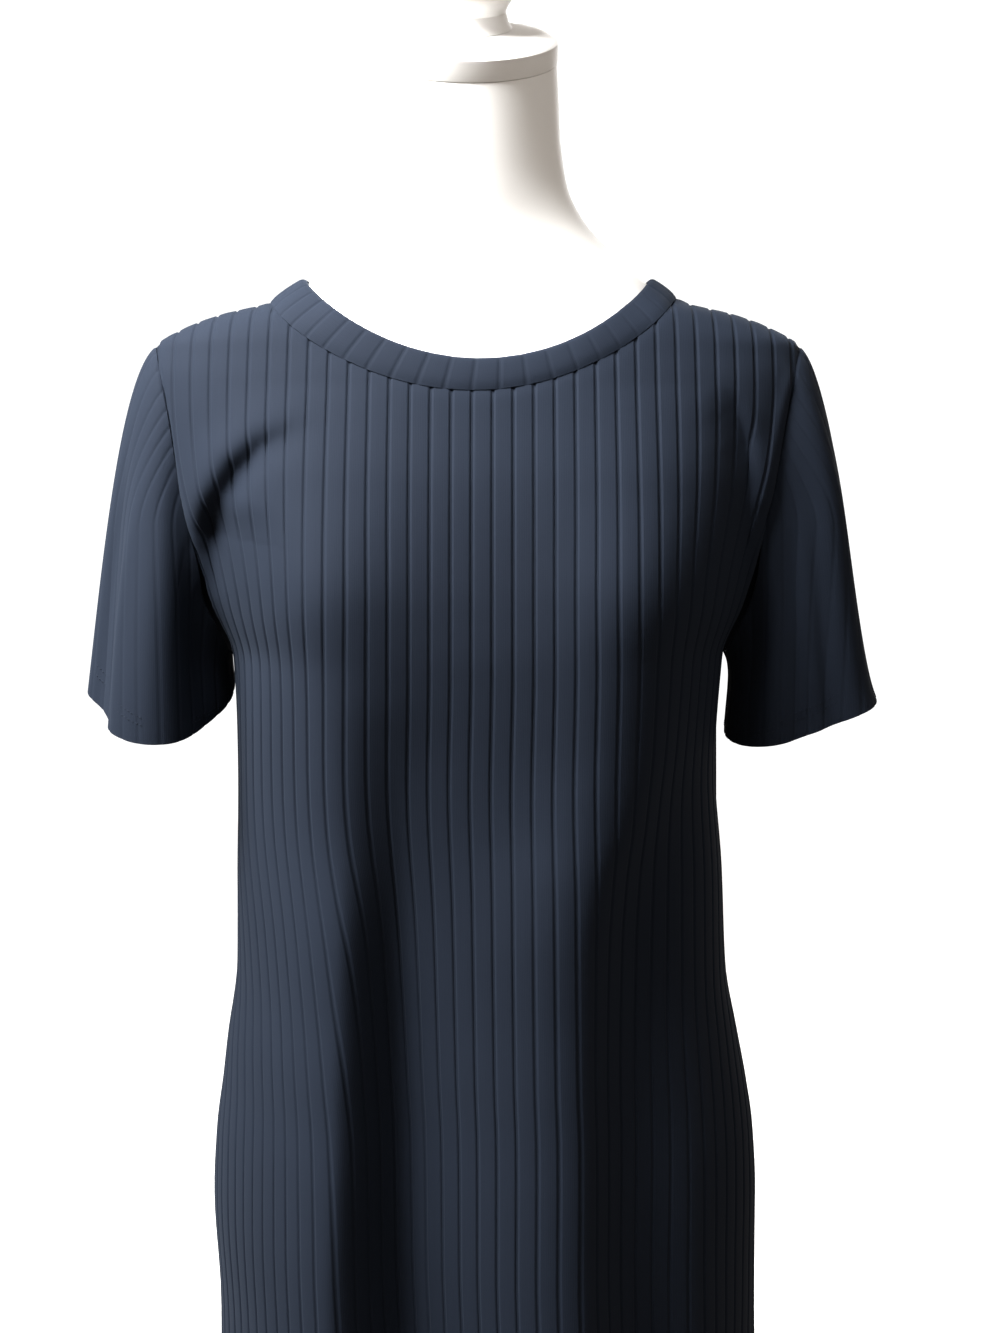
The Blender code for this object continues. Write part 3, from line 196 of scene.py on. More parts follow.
# Each ridge's place, height and two widths are read off against z. A crest that starts
# at the bust runs down into a hanging flute; a negative height is a trough.
FRONT_RIDGES = [
    Ridge(
        x=[
            (0.47, 0.060), (0.89, 0.055), (1.02, 0.058), (1.06, 0.065), (1.10, 0.084),
            (1.145, 0.099), (1.226, 0.105),
        ],
        height=[
            (0.47, 0.034), (0.80, 0.028), (1.02, 0.023), (1.10, 0.019), (1.226, 0.020),
            (1.30, 0.007), (1.36, 0.0),
        ],
        left_width=[(0.47, 0.060), (0.90, 0.055), (1.226, 0.048)],
        right_width=[(0.47, 0.026), (0.90, 0.022), (1.05, 0.026), (1.226, 0.044)],
    ),
    Ridge(
        x=[(0.47, -0.104), (0.81, -0.095), (1.00, -0.086), (1.08, -0.081), (1.226, -0.095)],
        height=[
            (0.47, 0.035), (0.80, 0.030), (1.02, 0.023), (1.10, 0.017), (1.226, 0.020),
            (1.30, 0.007), (1.36, 0.0),
        ],
        left_width=[(0.47, 0.050), (0.90, 0.048), (1.226, 0.040)],
        right_width=[(0.47, 0.026), (0.90, 0.022), (1.04, 0.024), (1.226, 0.048)],
    ),
    Ridge(
        x=[(0.47, -0.048), (0.81, -0.050), (1.08, -0.051)],
        height=[(0.47, -0.024), (0.90, -0.019), (1.02, -0.013), (1.10, -0.005), (1.17, 0.0)],
        left_width=[(0.47, 0.020), (0.95, 0.020), (1.08, 0.030)],
        right_width=[(0.47, 0.040), (1.08, 0.034)],
    ),
    Ridge(
        x=[(0.47, 0.138), (1.05, 0.128)],
        height=[(0.47, 0.016), (0.80, 0.008), (1.05, 0.0)],
        left_width=[(0.47, 0.018), (1.05, 0.018)],
        right_width=[(0.47, 0.022), (1.05, 0.022)],
    ),
    Ridge(
        x=[(0.47, -0.150), (1.00, -0.140)],
        height=[(0.47, 0.010), (0.80, 0.004), (1.00, 0.0)],
        left_width=[(0.47, 0.018), (1.00, 0.018)],
        right_width=[(0.47, 0.018), (1.00, 0.018)],
    ),
    Ridge(
        x=[(0.47, -0.028), (1.00, -0.032)],
        height=[(0.47, 0.006), (0.90, 0.0055), (1.04, 0.003), (1.14, 0.0)],
        left_width=[(0.47, 0.011), (1.00, 0.011)],
        right_width=[(0.47, 0.040), (1.00, 0.036)],
    ),
]

BACK_RIDGES = [
    Ridge(
        x=[(0.47, -0.088), (1.00, -0.075), (1.28, -0.080)],
        height=[(0.47, 0.032), (0.80, 0.020), (1.10, 0.011), (1.28, 0.009), (1.37, 0.0)],
        left_width=[(0.47, 0.032), (1.28, 0.045)],
        right_width=[(0.47, 0.030), (1.28, 0.045)],
    ),
    Ridge(
        x=[(0.47, 0.004), (1.05, 0.010)],
        height=[(0.47, 0.026), (0.80, 0.013), (1.05, 0.0)],
        left_width=[(0.47, 0.028), (1.05, 0.030)],
        right_width=[(0.47, 0.030), (1.05, 0.030)],
    ),
    Ridge(
        x=[(0.47, 0.098), (1.00, 0.082), (1.28, 0.080)],
        height=[(0.47, 0.030), (0.80, 0.021), (1.10, 0.011), (1.28, 0.009), (1.37, 0.0)],
        left_width=[(0.47, 0.030), (1.28, 0.045)],
        right_width=[(0.47, 0.034), (1.28, 0.045)],
    ),
    Ridge(
        x=[(0.47, 0.0), (1.25, 0.0)],
        height=[(0.47, -0.004), (0.95, -0.006), (1.10, -0.006), (1.30, 0.0)],
        left_width=[(0.47, 0.060), (1.25, 0.040)],
        right_width=[(0.47, 0.060), (1.25, 0.040)],
    ),
]

# Drag folds from the chest into each armpit, as x and z on the front.
FRONT_CREASES = [
    Crease(
        path=[
            (-0.086, 1.333), (-0.110, 1.331), (-0.131, 1.322), (-0.147, 1.307), (-0.159, 1.289),
            (-0.167, 1.268), (-0.168, 1.245),
        ],
        depth=0.0068,
        inner_width=0.0130,
        outer_width=0.0085,
        starts=0.6,
    ),
    Crease(
        path=[
            (-0.088, 1.342), (-0.113, 1.339), (-0.136, 1.330), (-0.154, 1.314), (-0.168, 1.292),
            (-0.177, 1.268),
        ],
        depth=-0.0050,
        inner_width=0.0090,
        outer_width=0.0170,
        starts=0.7,
    ),
    Crease(
        path=[(-0.156, 1.296), (-0.163, 1.270), (-0.162, 1.240), (-0.155, 1.200)],
        depth=0.0115,
        inner_width=0.0090,
        outer_width=0.0300,
    ),
    Crease(
        path=[(0.148, 1.362), (0.157, 1.347), (0.165, 1.325), (0.167, 1.300), (0.165, 1.225)],
        depth=0.0088,
        inner_width=0.0160,
        outer_width=0.0065,
        starts=0.6,
    ),
    Crease(
        path=[(0.199, 1.374), (0.190, 1.345), (0.183, 1.315), (0.179, 1.290)],
        depth=-0.0036,
        inner_width=0.0045,
        outer_width=0.0045,
        starts=0.15,
    ),
]
BACK_CREASES = [
    Crease(
        path=[(-0.120, 1.318), (-0.150, 1.298), (-0.168, 1.268), (-0.170, 1.228)],
        depth=0.010,
        inner_width=0.009,
        outer_width=0.012,
    ),
    Crease(
        path=[(0.116, 1.316), (0.148, 1.300), (0.168, 1.270), (0.170, 1.230)],
        depth=0.010,
        inner_width=0.009,
        outer_width=0.012,
    ),
]

# The two sleeves, +1 the left and -1 the right. A flute's angle and width are in
# degrees round the hem from its outside, 0, by the front, 90, to the body, 180.
SLEEVE_SHAPES = {
    1: Cuff(
        x=0.2058,
        z=1.1483,
        half_width=0.0418,
        outer_flare=0.0035,
        front_dip=0.0083,
        outer_rise=0.0134,
        lean=0.42,
        hold=0.20,
        flutes=[
            Flute(angle=18, height=0.004, width=26),
            Flute(angle=62, height=-0.004, width=24),
            Flute(angle=118, height=0.003, width=26),
            Flute(angle=-60, height=-0.004, width=28),
        ],
    ),
    -1: Cuff(
        x=0.2055,
        z=1.1650,
        half_width=0.0435,
        outer_flare=0.0,
        front_dip=0.0272,
        outer_rise=0.0017,
        lean=0.14,
        hold=0.33,
        flutes=[
            Flute(angle=6, height=0.004, width=16),
            Flute(angle=38, height=-0.006, width=16),
            Flute(angle=84, height=0.005, width=26),
            Flute(angle=-70, height=-0.004, width=28),
        ],
    ),
}

# Lengthwise folds of the sleeves, by the same angles, from the cap down to the hem.
SLEEVE_FOLDS = {
    1: [
        Fold(top_angle=12, hem_angle=8, height=0.0020, width=10, starts=0.05),
        Fold(top_angle=41, hem_angle=38, height=0.0100, width=19, starts=0.02),
        Fold(top_angle=60, hem_angle=62, height=-0.0016, width=7, starts=0.25),
        Fold(top_angle=90, hem_angle=94, height=-0.0078, width=22, starts=0.0),
        Fold(top_angle=-40, hem_angle=-48, height=-0.0030, width=13, starts=0.15),
        Fold(top_angle=-80, hem_angle=-92, height=0.0026, width=15, starts=0.2),
    ],
    -1: [
        Fold(top_angle=26, hem_angle=22, height=-0.0028, width=9, starts=0.12),
        Fold(top_angle=50, hem_angle=54, height=0.0016, width=9, starts=0.2),
        Fold(top_angle=92, hem_angle=100, height=0.0050, width=17, starts=0.0),
        Fold(top_angle=132, hem_angle=142, height=-0.0035, width=20, starts=0.0),
        Fold(top_angle=-34, hem_angle=-40, height=-0.0030, width=13, starts=0.1),
        Fold(top_angle=-84, hem_angle=-96, height=0.0024, width=16, starts=0.2),
    ],
}

# Where each piece has its rows of points: heights, or shares of the sleeve's length.
SIDE_SEAM_LEVELS = [HEM_Z + 0.012 * k for k in range(59)] + [1.184]
BODY_ROWS = [HEM_Z + 0.010 * k for k in range(71)]
BODY_ROWS += [1.178 + 0.005 * k for k in range(14)]
BODY_ROWS += [1.247 + 0.002 * k for k in range(52)]
BODY_ROWS += [1.354 + 0.005 * k for k in range(30)]
OUTER_CLEAR, INNER_CLEAR = 0.0016, 0.003  # how near a skin's points come to its cut edge
CREASED = (-0.215, -0.085)  # the stretch of a panel's width with more columns, for the creases
CREASE_OFFSETS = (0.255, 0.415, 0.585, 0.745)  # of the columns added there, in pitches
SLEEVE_ROWS, SLEEVE_COLUMNS = [k / 64 for k in range(65)], 416
NECKBAND_ROWS = [0, 0.06, 0.14, 0.3, 0.5, 0.7, 0.86, 0.91, 0.95, 0.98, 1.0]

STITCH_PITCH, STITCH_LENGTH, THREAD_RADIUS = 0.0034, 0.0027, 0.00028
THREAD_LIFT = 0.0001
HEM_STITCH_ROWS = (0.019, 0.025)  # height over the hem
HEM_STITCH_CLEAR, STITCH_LINE_STEP = 0.001, 0.0008  # from the side seams, and along the row
SLEEVE_STITCH_ROWS = (0.017, 0.023)

KNIT_DARK, KNIT_LIGHT = (0.0063, 0.0091, 0.0156), (0.0092, 0.0131, 0.0219)
# painted shade: a darker knit colour for the sunk channels, and how far towards it they are
# darkened, standing in for the shadow that falls in them
PAINTED_CHANNEL_SHADE = (0.0057, 0.0081, 0.0135)
CHANNEL_SHARPNESS, CHANNEL_PAINTED_SHADE_SHARE = 14.0, 0.15
SHEEN_TINT, FIBRE_SPECULAR = (0.6, 0.75, 1.0), 0.07
THREAD_LIGHT = (0.0105, 0.0145, 0.0235)
SHELL_DARK, SHELL_LIGHT = (0.84, 0.83, 0.81), (0.90, 0.89, 0.87)
STEEL_DARK, STEEL_LIGHT = (0.56, 0.56, 0.57), (0.66, 0.66, 0.67)
FLOOR_DARK, FLOOR_LIGHT = (0.70, 0.70, 0.70), (0.74, 0.74, 0.74)
FLOOR_GLOW, DRUM_GLOW = 0.85, 1.15
WALE_PITCH, COURSE_PITCH = RIB_PITCH / 12, 0.00095

KEY_PLACE, FILL_PLACE, LIT_PLACE = (-0.90, -0.41, 2.50), (0.86, -0.96, 2.65), (0.0, -0.1, 1.2)
BACK_PLACE = (0.9, 3.2, 2.4)
KEY_ENERGY, FILL_ENERGY, BACK_ENERGY = 208.0, 6.0, 40.0
KEY_SIZE, FILL_SIZE, BACK_SIZE = 1.0, 1.2, 2.0
ROOM_LIGHT, ROOM_TINT = 0.30, (1.0, 0.86, 0.73)
CAMERA_PLACE, CAMERA_DOWN = (0.0143, -1.3, 1.33), 6.6  # metres, and degrees below level
LENS, SENSOR = 54, 36  # millimetres
FLOOR_REACH, DRUM_REACH, DRUM_TOP, DRUM_STEPS = 5.8, 5.6, 9.0, 64

# ------------------------------------------------------------------- small mathematics


class Profile:
    """A smooth line through (place, value) rows that never overshoots them."""

    def __init__(self, rows):
        self.at, self.value = (np.array(column, float) for column in zip(*rows))
        step = np.diff(self.at)
        slope = np.diff(self.value) / step
        inner = np.zeros(len(self.at))
        same = slope[:-1] * slope[1:] > 0
        mean = 2 * slope[:-1] * slope[1:] / np.where(same, slope[:-1] + slope[1:], 1)
        inner[1:-1] = np.where(same, mean, 0)
        inner[0], inner[-1] = slope[0], slope[-1]
        self.slope = inner

    def __call__(self, at):
        at = np.clip(at, self.at[0], self.at[-1])
        i = np.clip(np.searchsorted(self.at, at) - 1, 0, len(self.at) - 2)
        step = self.at[i + 1] - self.at[i]
        u = (at - self.at[i]) / step
        return (
            self.value[i] * (1 + 2 * u) * (1 - u) ** 2
            + self.slope[i] * step * u * (1 - u) ** 2
            + self.value[i + 1] * u * u * (3 - 2 * u)
            + self.slope[i + 1] * step * u * u * (u - 1)
        )


def levels_as_profiles(levels):
    """The table's columns, each as a smooth line to be read at any z."""
    names = Level._fields[1:]
    columns = [Profile([(row.z, getattr(row, name)) for row in levels]) for name in names]
    return namedtuple("Levels", names)(*columns)


def smoothstep(u):
    u = np.clip(u, 0, 1)
    return u * u * (3 - 2 * u)


def unit(v):
    return v / np.maximum(np.linalg.norm(v, axis=-1, keepdims=True), 1e-12)


GARMENT = levels_as_profiles(GARMENT_LEVELS)
FORM = levels_as_profiles(FORM_LEVELS)


def ridge_relief(ridges, x, z):
    """How far the ridges raise the cloth at x and z, less what its troughs sink it."""
    total = 0.0 * x
    for ridge in ridges:
        away = x - Profile(ridge.x)(z)
        left, right = Profile(ridge.left_width)(z), Profile(ridge.right_width)(z)
        width = np.where(away < 0, left, right)
        total = total + Profile(ridge.height)(z) * np.exp(-((away / width) ** 2))
    return total


def crease_relief(creases, x, z):
    """How far each crease sinks the cloth: shallow where it starts, deep at the armpit."""
    total = 0.0 * x
    for crease in creases:
        path = np.array(crease.path)
        nearest = np.full(np.shape(x), 1e9)
        along, inner = np.zeros(np.shape(x)), np.zeros(np.shape(x), bool)
        outward = path[-1][0] - path[0][0]
        for i, (start, end) in enumerate(zip(path[:-1], path[1:])):
            run = end - start
            u = ((x - start[0]) * run[0] + (z - start[1]) * run[1]) / (run @ run)
            u = np.clip(u, 0, 1)
            away_x, away_z = x - start[0] - u * run[0], z - start[1] - u * run[1]
            distance = np.hypot(away_x, away_z)
            closer = distance < nearest
            nearest = np.where(closer, distance, nearest)
            along = np.where(closer, (i + u) / (len(path) - 1), along)
            inside = (away_x * run[1] - away_z * run[0]) * outward > 0
            inner = np.where(closer, inside, inner)
        width = np.where(inner, crease.inner_width, crease.outer_width)
        lost = CREASE_END_LOSS * smoothstep((along - (1 - CREASE_END)) / CREASE_END)
        fade = smoothstep(along / crease.starts) * (1 - lost)
        total = total - crease.depth * fade * np.exp(-((nearest / width) ** 2))
    return total


# ------------------------------------------------------------------- the worn surface


class Side:
    """One body panel's worn surface, front (face -1) or back (face +1).

    Up to BLEND_Z, t is the height z and s the length of the section from the centre
    line. Above, t is stretched so that every column reaches the shoulder line, and x
    turns gradually from the place along the section to s itself.
    """

    BLEND_Z = 1.250  # above it the ribs turn to run straight over the shoulder
    RIDGE_EASE = 1.8  # crowds the rows where the cloth turns over the shoulder
    EASE_SHARE = 0.6  # share of the way up over which the crowding sets in
    BELOW_HEM = 0.002
    LEVELS, SAMPLES, CROWN_STEPS = 260, 241, 200
    BISECTIONS = 50
    GRAIN_STRETCH = 1.2  # length of cloth for each metre of height above BLEND_Z

    def __init__(self, face, depth, ridges, creases):
        self.face, self.depth, self.ridges, self.creases = face, depth, ridges, creases
        self.z = np.linspace(HEM_Z - self.BELOW_HEM, TOP_Z, self.LEVELS)
        turn = np.linspace(-0.5 * math.pi, 0.5 * math.pi, 2 * self.SAMPLES - 1)
        z = self.z[:, None]
        power = 2 / GARMENT.power(z)
        self.x = GARMENT.half_width(z) * np.sign(np.sin(turn)) * np.abs(np.sin(turn)) ** power
        self.y = self.depth_at(self.x, z, [])  # the knit gives in a crease, so it's left out
        steps = np.hypot(np.diff(self.x, axis=1), np.diff(self.y, axis=1))
        arc = np.concatenate([np.zeros((self.LEVELS, 1)), np.cumsum(steps, axis=1)], axis=1)
        self.arc = arc - arc[:, [self.SAMPLES - 1]]
        crown = np.linspace(SHOULDER_TIP[1], TOP_Z, self.CROWN_STEPS)
        self.crown_z, self.crown_x = crown, GARMENT.half_width(crown)

    def depth_at(self, x, z, creases=None):
        """How far the cloth stands from the side plane, x from the ring's centre at z."""
        creases = self.creases if creases is None else creases
        half = GARMENT.half_width(z)
        across = np.clip(np.abs(x) / half, 0, 1)
        power = GARMENT.power(z)
        relief = ridge_relief(self.ridges, x, z) * (1 - across**RIDGE_REACH)
        relief = relief + crease_relief(creases, x, z) * (1 - across**CREASE_REACH)
        return self.depth(z) * (1 - across**power) ** (1 / power) + relief

    def crown(self, s):
        """Height of the shoulder line above s, carried on as a neck within the neckline."""
        return np.interp(-np.abs(s), -self.crown_x, self.crown_z)

    def seam_s(self, z, which):
        """Distance across to the side seam at height z: which is -1 or +1."""
        ends = [np.interp(z, self.z, self.arc[:, column]) for column in (0, -1)]
        return np.where(np.asarray(which) < 0, *ends)

    def top_t(self, s):
        return self.BLEND_Z + self.GRAIN_STRETCH * (self.crown(s) - self.BLEND_Z)

    def height_of(self, s, t):
        crown = self.crown(s)
        left = np.clip(1 - (t - self.BLEND_Z) / (self.top_t(s) - self.BLEND_Z), 0, 1)
        eased = crown - (crown - self.BLEND_Z) * left**self.RIDGE_EASE
        # the eased spacing starts RIDGE_EASE times as fast, so it is blended in
        plain = crown - (crown - self.BLEND_Z) * left
        mix = smoothstep((1 - left) / self.EASE_SHARE)
        return np.where(t < self.BLEND_Z, t, plain + (eased - plain) * mix)

    def pattern_t(self, s, z):
        """The inverse of height_of, by bisection."""
        low, high = np.full(np.shape(s), self.z[0]), self.top_t(s)
        for _ in range(self.BISECTIONS):
            middle = 0.5 * (low + high)
            below = self.height_of(s, middle) < z
            low, high = np.where(below, middle, low), np.where(below, high, middle)
        return 0.5 * (low + high)

    def _across(self, s, z):
        """x on the section at height z, a distance s along it from the centre line."""
        place = np.clip((z - self.z[0]) / (self.z[1] - self.z[0]), 0, self.LEVELS - 1.001)
        low = place.astype(int)
        share = place - low
        under, over = (
            np.array([np.interp(a, self.arc[i], self.x[i]) for a, i in zip(s, level)])
            for level in (low, low + 1)
        )
        return under * (1 - share) + over * share

    def across(self, s, z):
        section_x = self._across(s, z)
        turn = smoothstep((z - self.BLEND_Z) / np.maximum(self.crown(s) - self.BLEND_Z, 1e-6))
        limit = GARMENT.half_width(z)
        return np.clip(section_x * (1 - turn) + s * turn, -limit, limit)

    def point(self, s, t):
        s, t = np.asarray(s, float).ravel(), np.asarray(t, float).ravel()
        z = self.height_of(s, t)
        x = self.across(s, z)
        return np.stack([x + GARMENT.shift(z), self.face * self.depth_at(x, z), z], axis=1)

    def normal(self, s, t, reach=0.0012):
        """Outward direction, from short steps that stay inside the panel."""
        s, t = np.asarray(s, float).ravel(), np.asarray(t, float).ravel()
        t_high = np.minimum(t + reach, self.top_t(s) - 1e-5)
        z = self.height_of(s, t)
        left, right = (np.where(z < self.BLEND_Z, self.seam_s(z, w), w) for w in (-1, 1))
        s_low, s_high = np.maximum(s - reach, left + 1e-5), np.minimum(s + reach, right - 1e-5)
        along = self.point(s, t_high) - self.point(s, t_high - 2 * reach)
        over = self.point(s_high, t) - self.point(s_low, t)
        return unit(np.cross(over, along)) * -self.face


FRONT = Side(-1, GARMENT.front, FRONT_RIDGES, FRONT_CREASES)
BACK = Side(1, GARMENT.back, BACK_RIDGES, BACK_CREASES)

# -------------------------------------------------------------------- pattern outlines


def neck_level(side, x, width, shift, middle_z):
    """Height of a scooped neckline that starts and ends on the shoulder line."""
    left, right = side.crown(np.array([shift - width, shift + width]))
    scoop = np.clip(1 - (x / width) ** 2, 0, 1) ** NECK_CURVE
    shoulders = left + (right - left) * 0.5 * (1 + x / width)
    return shoulders - (0.5 * (left + right) - middle_z + NECK_SKEW * x) * scoop


@functools.cache
def armhole_edge(side, which, steps):
    """s and t along one armhole, shoulder tip to underarm. It is the line where the
    cloth stands as far from the body's side plane as an upright ellipse does."""
    angle = np.linspace(0.5 * math.pi, -0.5 * math.pi, steps)
    z = ARMHOLE_MID_Z + ARMHOLE_HALF_HEIGHT * np.sin(angle)
    stand = ARMHOLE_HALF_DEPTH * np.cos(angle)
    try_s = np.linspace(*ARMHOLE_SEARCH)
    found = []
    for height, depth in zip(z, stand):
        limit = abs(side.seam_s(height, which)) if height < side.BLEND_Z else try_s[-1]
        s = try_s[try_s < limit]
        x = side.across(which * s, np.full(len(s), height))
        y = side.depth_at(x, height)
        found.append(np.interp(-depth, -y, s))
    s = np.array(found)
    s[0], s[-1] = SHOULDER_TIP[0], abs(side.seam_s(z[-1], which))
    t = side.pattern_t(which * s, z)
    t[0] = side.top_t(s[:1])[0]
    return which * s, t


def side_cut(side, which):
    """The hem's corner and the side seam above it, up to just under the armhole."""
    z = np.array(SIDE_SEAM_LEVELS)
    return list(zip(side.seam_s(z, which), z))


def armhole_cut(side, which):
    """The armhole from the underarm up to the shoulder tip."""
    s, t = armhole_edge(side, which, ARMHOLE_POINTS)
    return list(zip(s[::-1], t[::-1]))


def shoulder_cut(side, which):
    """The shoulder seam from the armhole to the neck hole."""
    neck = NECK_HALF_WIDTH + which * NECK_SHIFT
    s = np.linspace(SHOULDER_TIP[0], neck, SHOULDER_POINTS)[1:]
    return list(zip(which * s, side.top_t(s)))


def neck_cut(side, which, neck_z):
    """Half of the neck hole, from the shoulder in to beside the centre line."""
    turn = np.linspace(0.5 * math.pi, 0, NECK_POINTS)[1:-1]
    from_middle = which * NECK_HALF_WIDTH * np.sin(turn)
    level = neck_level(side, from_middle, NECK_HALF_WIDTH, NECK_SHIFT, neck_z)
    s = from_middle + NECK_SHIFT
    return list(zip(s, side.pattern_t(s, level)))


def outline(side, neck_z):
    """The panel's cutting line as (s, t) points, anticlockwise from the hem's corner."""
    halves = []
    for which in (1, -1):
        half = side_cut(side, which) + armhole_cut(side, which)
        half += shoulder_cut(side, which) + neck_cut(side, which, neck_z)
        halves.append(half)
    middle = side.pattern_t(np.array([NECK_SHIFT]), neck_z)[0]
    return halves[0] + [(NECK_SHIFT, middle)] + halves[1][::-1]


def crossings(loop, s):
    """Where the vertical line at s cuts the outline, lowest first: (place, t), the
    place being the cut edge's number plus the share of it already passed."""
    found = []
    for i, (a, b) in enumerate(zip(loop, loop[1:] + loop[:1])):
        if (a[0] < s) != (b[0] < s):
            share = (s - a[0]) / (b[0] - a[0])
            found.append((i + share, a[1] + share * (b[1] - a[1])))
    return sorted(found, key=lambda cut: cut[1])


def clear_of(loop, s, rows, clear):
    """The rows at which a point on the column at s keeps clear of the outline."""
    start = np.array(loop)
    run = np.roll(start, -1, axis=0) - start
    at = np.stack([np.full(len(rows), s), rows], axis=1)[:, None] - start
    along = np.clip((at * run).sum(-1) / (run * run).sum(-1), 0, 1)
    distance = np.linalg.norm(at - along[..., None] * run, axis=-1).min(axis=1)
    return [t for t, d in zip(rows, distance) if d > clear]


Flat = namedtuple("Flat", "points faces border")


def flat_mesh(loop, columns, rows, clear):
    """Triangles over the outline, with an edge up every column. The border lists the
    outline's points in order, each as its place round the outline and its number."""
    on_edge = [(float(i), point) for i, point in enumerate(loop)]
    lines = []
    for s in columns:
        cuts = crossings(loop, s)
        for low, high in zip(cuts[::2], cuts[1::2]):
            if high[1] - low[1] < 2 * clear:
                continue
            inside = clear_of(loop, s, [t for t in rows if low[1] < t < high[1]], clear)
            lines.append([(s, t) for t in (low[1], *inside, high[1])])
            on_edge += [(place, (s, t)) for place, t in (low, high)]
    on_edge.sort(key=lambda item: item[0])
    numbers = {}

    def number(point):
        key = (round(point[0], 7), round(point[1], 7))
        return numbers.setdefault(key, len(numbers))

    border = []
    for place, point in on_edge:
        i = number(point)
        if not border or border[-1][1] != i:
            border.append((place, i))
    edges = [(number(a), number(b)) for line in lines for a, b in zip(line[:-1], line[1:])]
    ring = [i for _, i in border]
    made = delaunay_2d_cdt(list(numbers), edges, [ring], 0, 1e-7, True)
    points, _, faces, point_source, _, face_source = made
    inside = [tuple(face) for face, source in zip(faces, face_source) if source]
    now = {old: new for new, source in enumerate(point_source) for old in source}
    return Flat(np.array(points), inside, [(place, now[i]) for place, i in border])


# ----------------------------------------------------------------------- making pieces


def piece(name, points, faces, grain, sharp_over=40):
    """A smooth mesh whose UV map says where each point lies in the flat cloth, in metres."""
    mesh = bpy.data.meshes.new(name)
    mesh.from_pydata(np.asarray(points).tolist(), [], [tuple(map(int, face)) for face in faces])
    layer = mesh.uv_layers.new(name="grain")
    corner = np.empty(len(mesh.loops), np.int32)
    mesh.loops.foreach_get("vertex_index", corner)
    layer.data.foreach_set("uv", np.asarray(grain, np.float32)[corner].ravel())
    mesh.shade_smooth()
    mesh.set_sharp_from_angle(angle=math.radians(sharp_over))
    obj = bpy.data.objects.new(name, mesh)
    bpy.context.scene.collection.objects.link(obj)
    return obj


def rib_columns(low, high, offsets, phase):
    """Where the columns at the offsets (in pitches) of every rib between low and high are."""
    ribs = range(math.floor((low - phase) / RIB_PITCH), math.ceil((high - phase) / RIB_PITCH) + 1)
    columns = [phase + (k + offset) * RIB_PITCH for k in ribs for offset in offsets]
    return [s for s in columns if low < s < high]


def rib_height(place, depth=CHANNEL_DEPTH):
    """Height of the ribbed face over the plain one; place is in pitches from a channel."""
    away = np.abs(np.mod(np.asarray(place) + 0.5, 1) - 0.5) * RIB_PITCH
    wall = smoothstep((away - CHANNEL_FLOOR) / (CHANNEL_HALF - CHANNEL_FLOOR))
    top = np.clip((away - CHANNEL_HALF) / (0.5 * RIB_PITCH - CHANNEL_HALF), 0, 1)
    return CLOTH - depth * (1 - wall) + RIB_CROWN * (1 - (1 - top) ** 2)


def rim_faces(outer, inner, outer_count):
    """Closes the edge between two borders, each a ring of (place, point number)."""
    at_inner = {round(place, 6): i for place, i in inner}
    first = next(k for k, (place, _) in enumerate(outer) if round(place, 6) in at_inner)
    ring = outer[first:] + outer[:first] + [outer[first]]
    anchor = outer_count + at_inner[round(ring[0][0], 6)]
    faces = []
    for (_, a), (place, b) in zip(ring[:-1], ring[1:]):
        faces.append((a, anchor, b))
        following = outer_count + at_inner.get(round(place, 6), anchor - outer_count)
        if following != anchor:
            faces.append((b, anchor, following))
            anchor = following
    return faces


def underarm_share(points):
    """1 at the foot of the armhole, where the sleeve hangs clear, and 0 above it."""
    return 1 - smoothstep((points[:, 2] - (UNDERARM_Z + UNDERARM_TOP)) / UNDERARM_FADE)[:, None]


def off_armhole(points):
    """Direction from the middle of the armhole out to points round its edge."""
    out = np.zeros_like(points)
    half_sizes = np.array([ARMHOLE_HALF_DEPTH, ARMHOLE_HALF_HEIGHT])
    out[:, 1:] = unit((points[:, 1:] - [0.0, ARMHOLE_MID_Z]) / half_sizes)
    return out


def armhole_meeting(points, normals):
    """Turns the wall's direction, near an armhole, halfway towards the sleeve's."""
    return unit(normals + off_armhole(points) * (1 - underarm_share(points)))


# ------------------------------------------------------------------------- body panels


def on_side_seams(side, flat):
    """The flat points, with those of the side seams set exactly on the curved seam."""
    points = flat.points.copy()
    edge = np.array([i for _, i in flat.border])
    level = points[edge, 1]
    edge = edge[(level > HEM_Z + ROUNDING) & (level < UNDERARM_Z - EDGE_END)]
    for which in (1, -1):
        own = edge[points[edge, 0] * which > 0]
        points[own, 0] = side.seam_s(points[own, 1], which)
    return points


def seam_sink(s, t, loop):
    """How far the cloth dips along its sewn edges, where the seam pulls it in."""
    edge = np.array(loop)
    sewn = edge[edge[:, 1] > HEM_Z + EDGE_END]
    away = np.full(len(s), 1.0)
    for a, b in zip(sewn[:-1], sewn[1:]):
        run = b - a
        u = np.clip(((s - a[0]) * run[0] + (t - a[1]) * run[1]) / (run @ run), 0, 1)
        away = np.minimum(away, np.hypot(s - a[0] - u * run[0], t - a[1] - u * run[1]))
    return SEAM_SINK * np.exp(-((away / SEAM_SPREAD) ** 2))


def worn(side, flat, thickness, loop):
    """Carries a flat mesh onto the body, each point moved out by its thickness."""
    s, t = on_side_seams(side, flat).T
    points, out = side.point(s, t), side.normal(s, t)
    seam_place = np.abs(side.seam_s(t, np.where(s < 0, -1, 1)))
    sewn = (t < UNDERARM_Z) & (np.abs(s) > seam_place - ON_SEAM)
    points[sewn, 1] = 0.0  # the side seams lie in the side plane
    for which in (1, -1):
        edge = np.stack(armhole_edge(side, which, 61))
        away = np.hypot(s[:, None] - edge[0], t[:, None] - edge[1]).min(axis=1)
        near = away < ARMHOLE_NEAR
        out[near] = armhole_meeting(points[near], out[near])
    return points + out * (thickness - seam_sink(s, t, loop))[:, None]


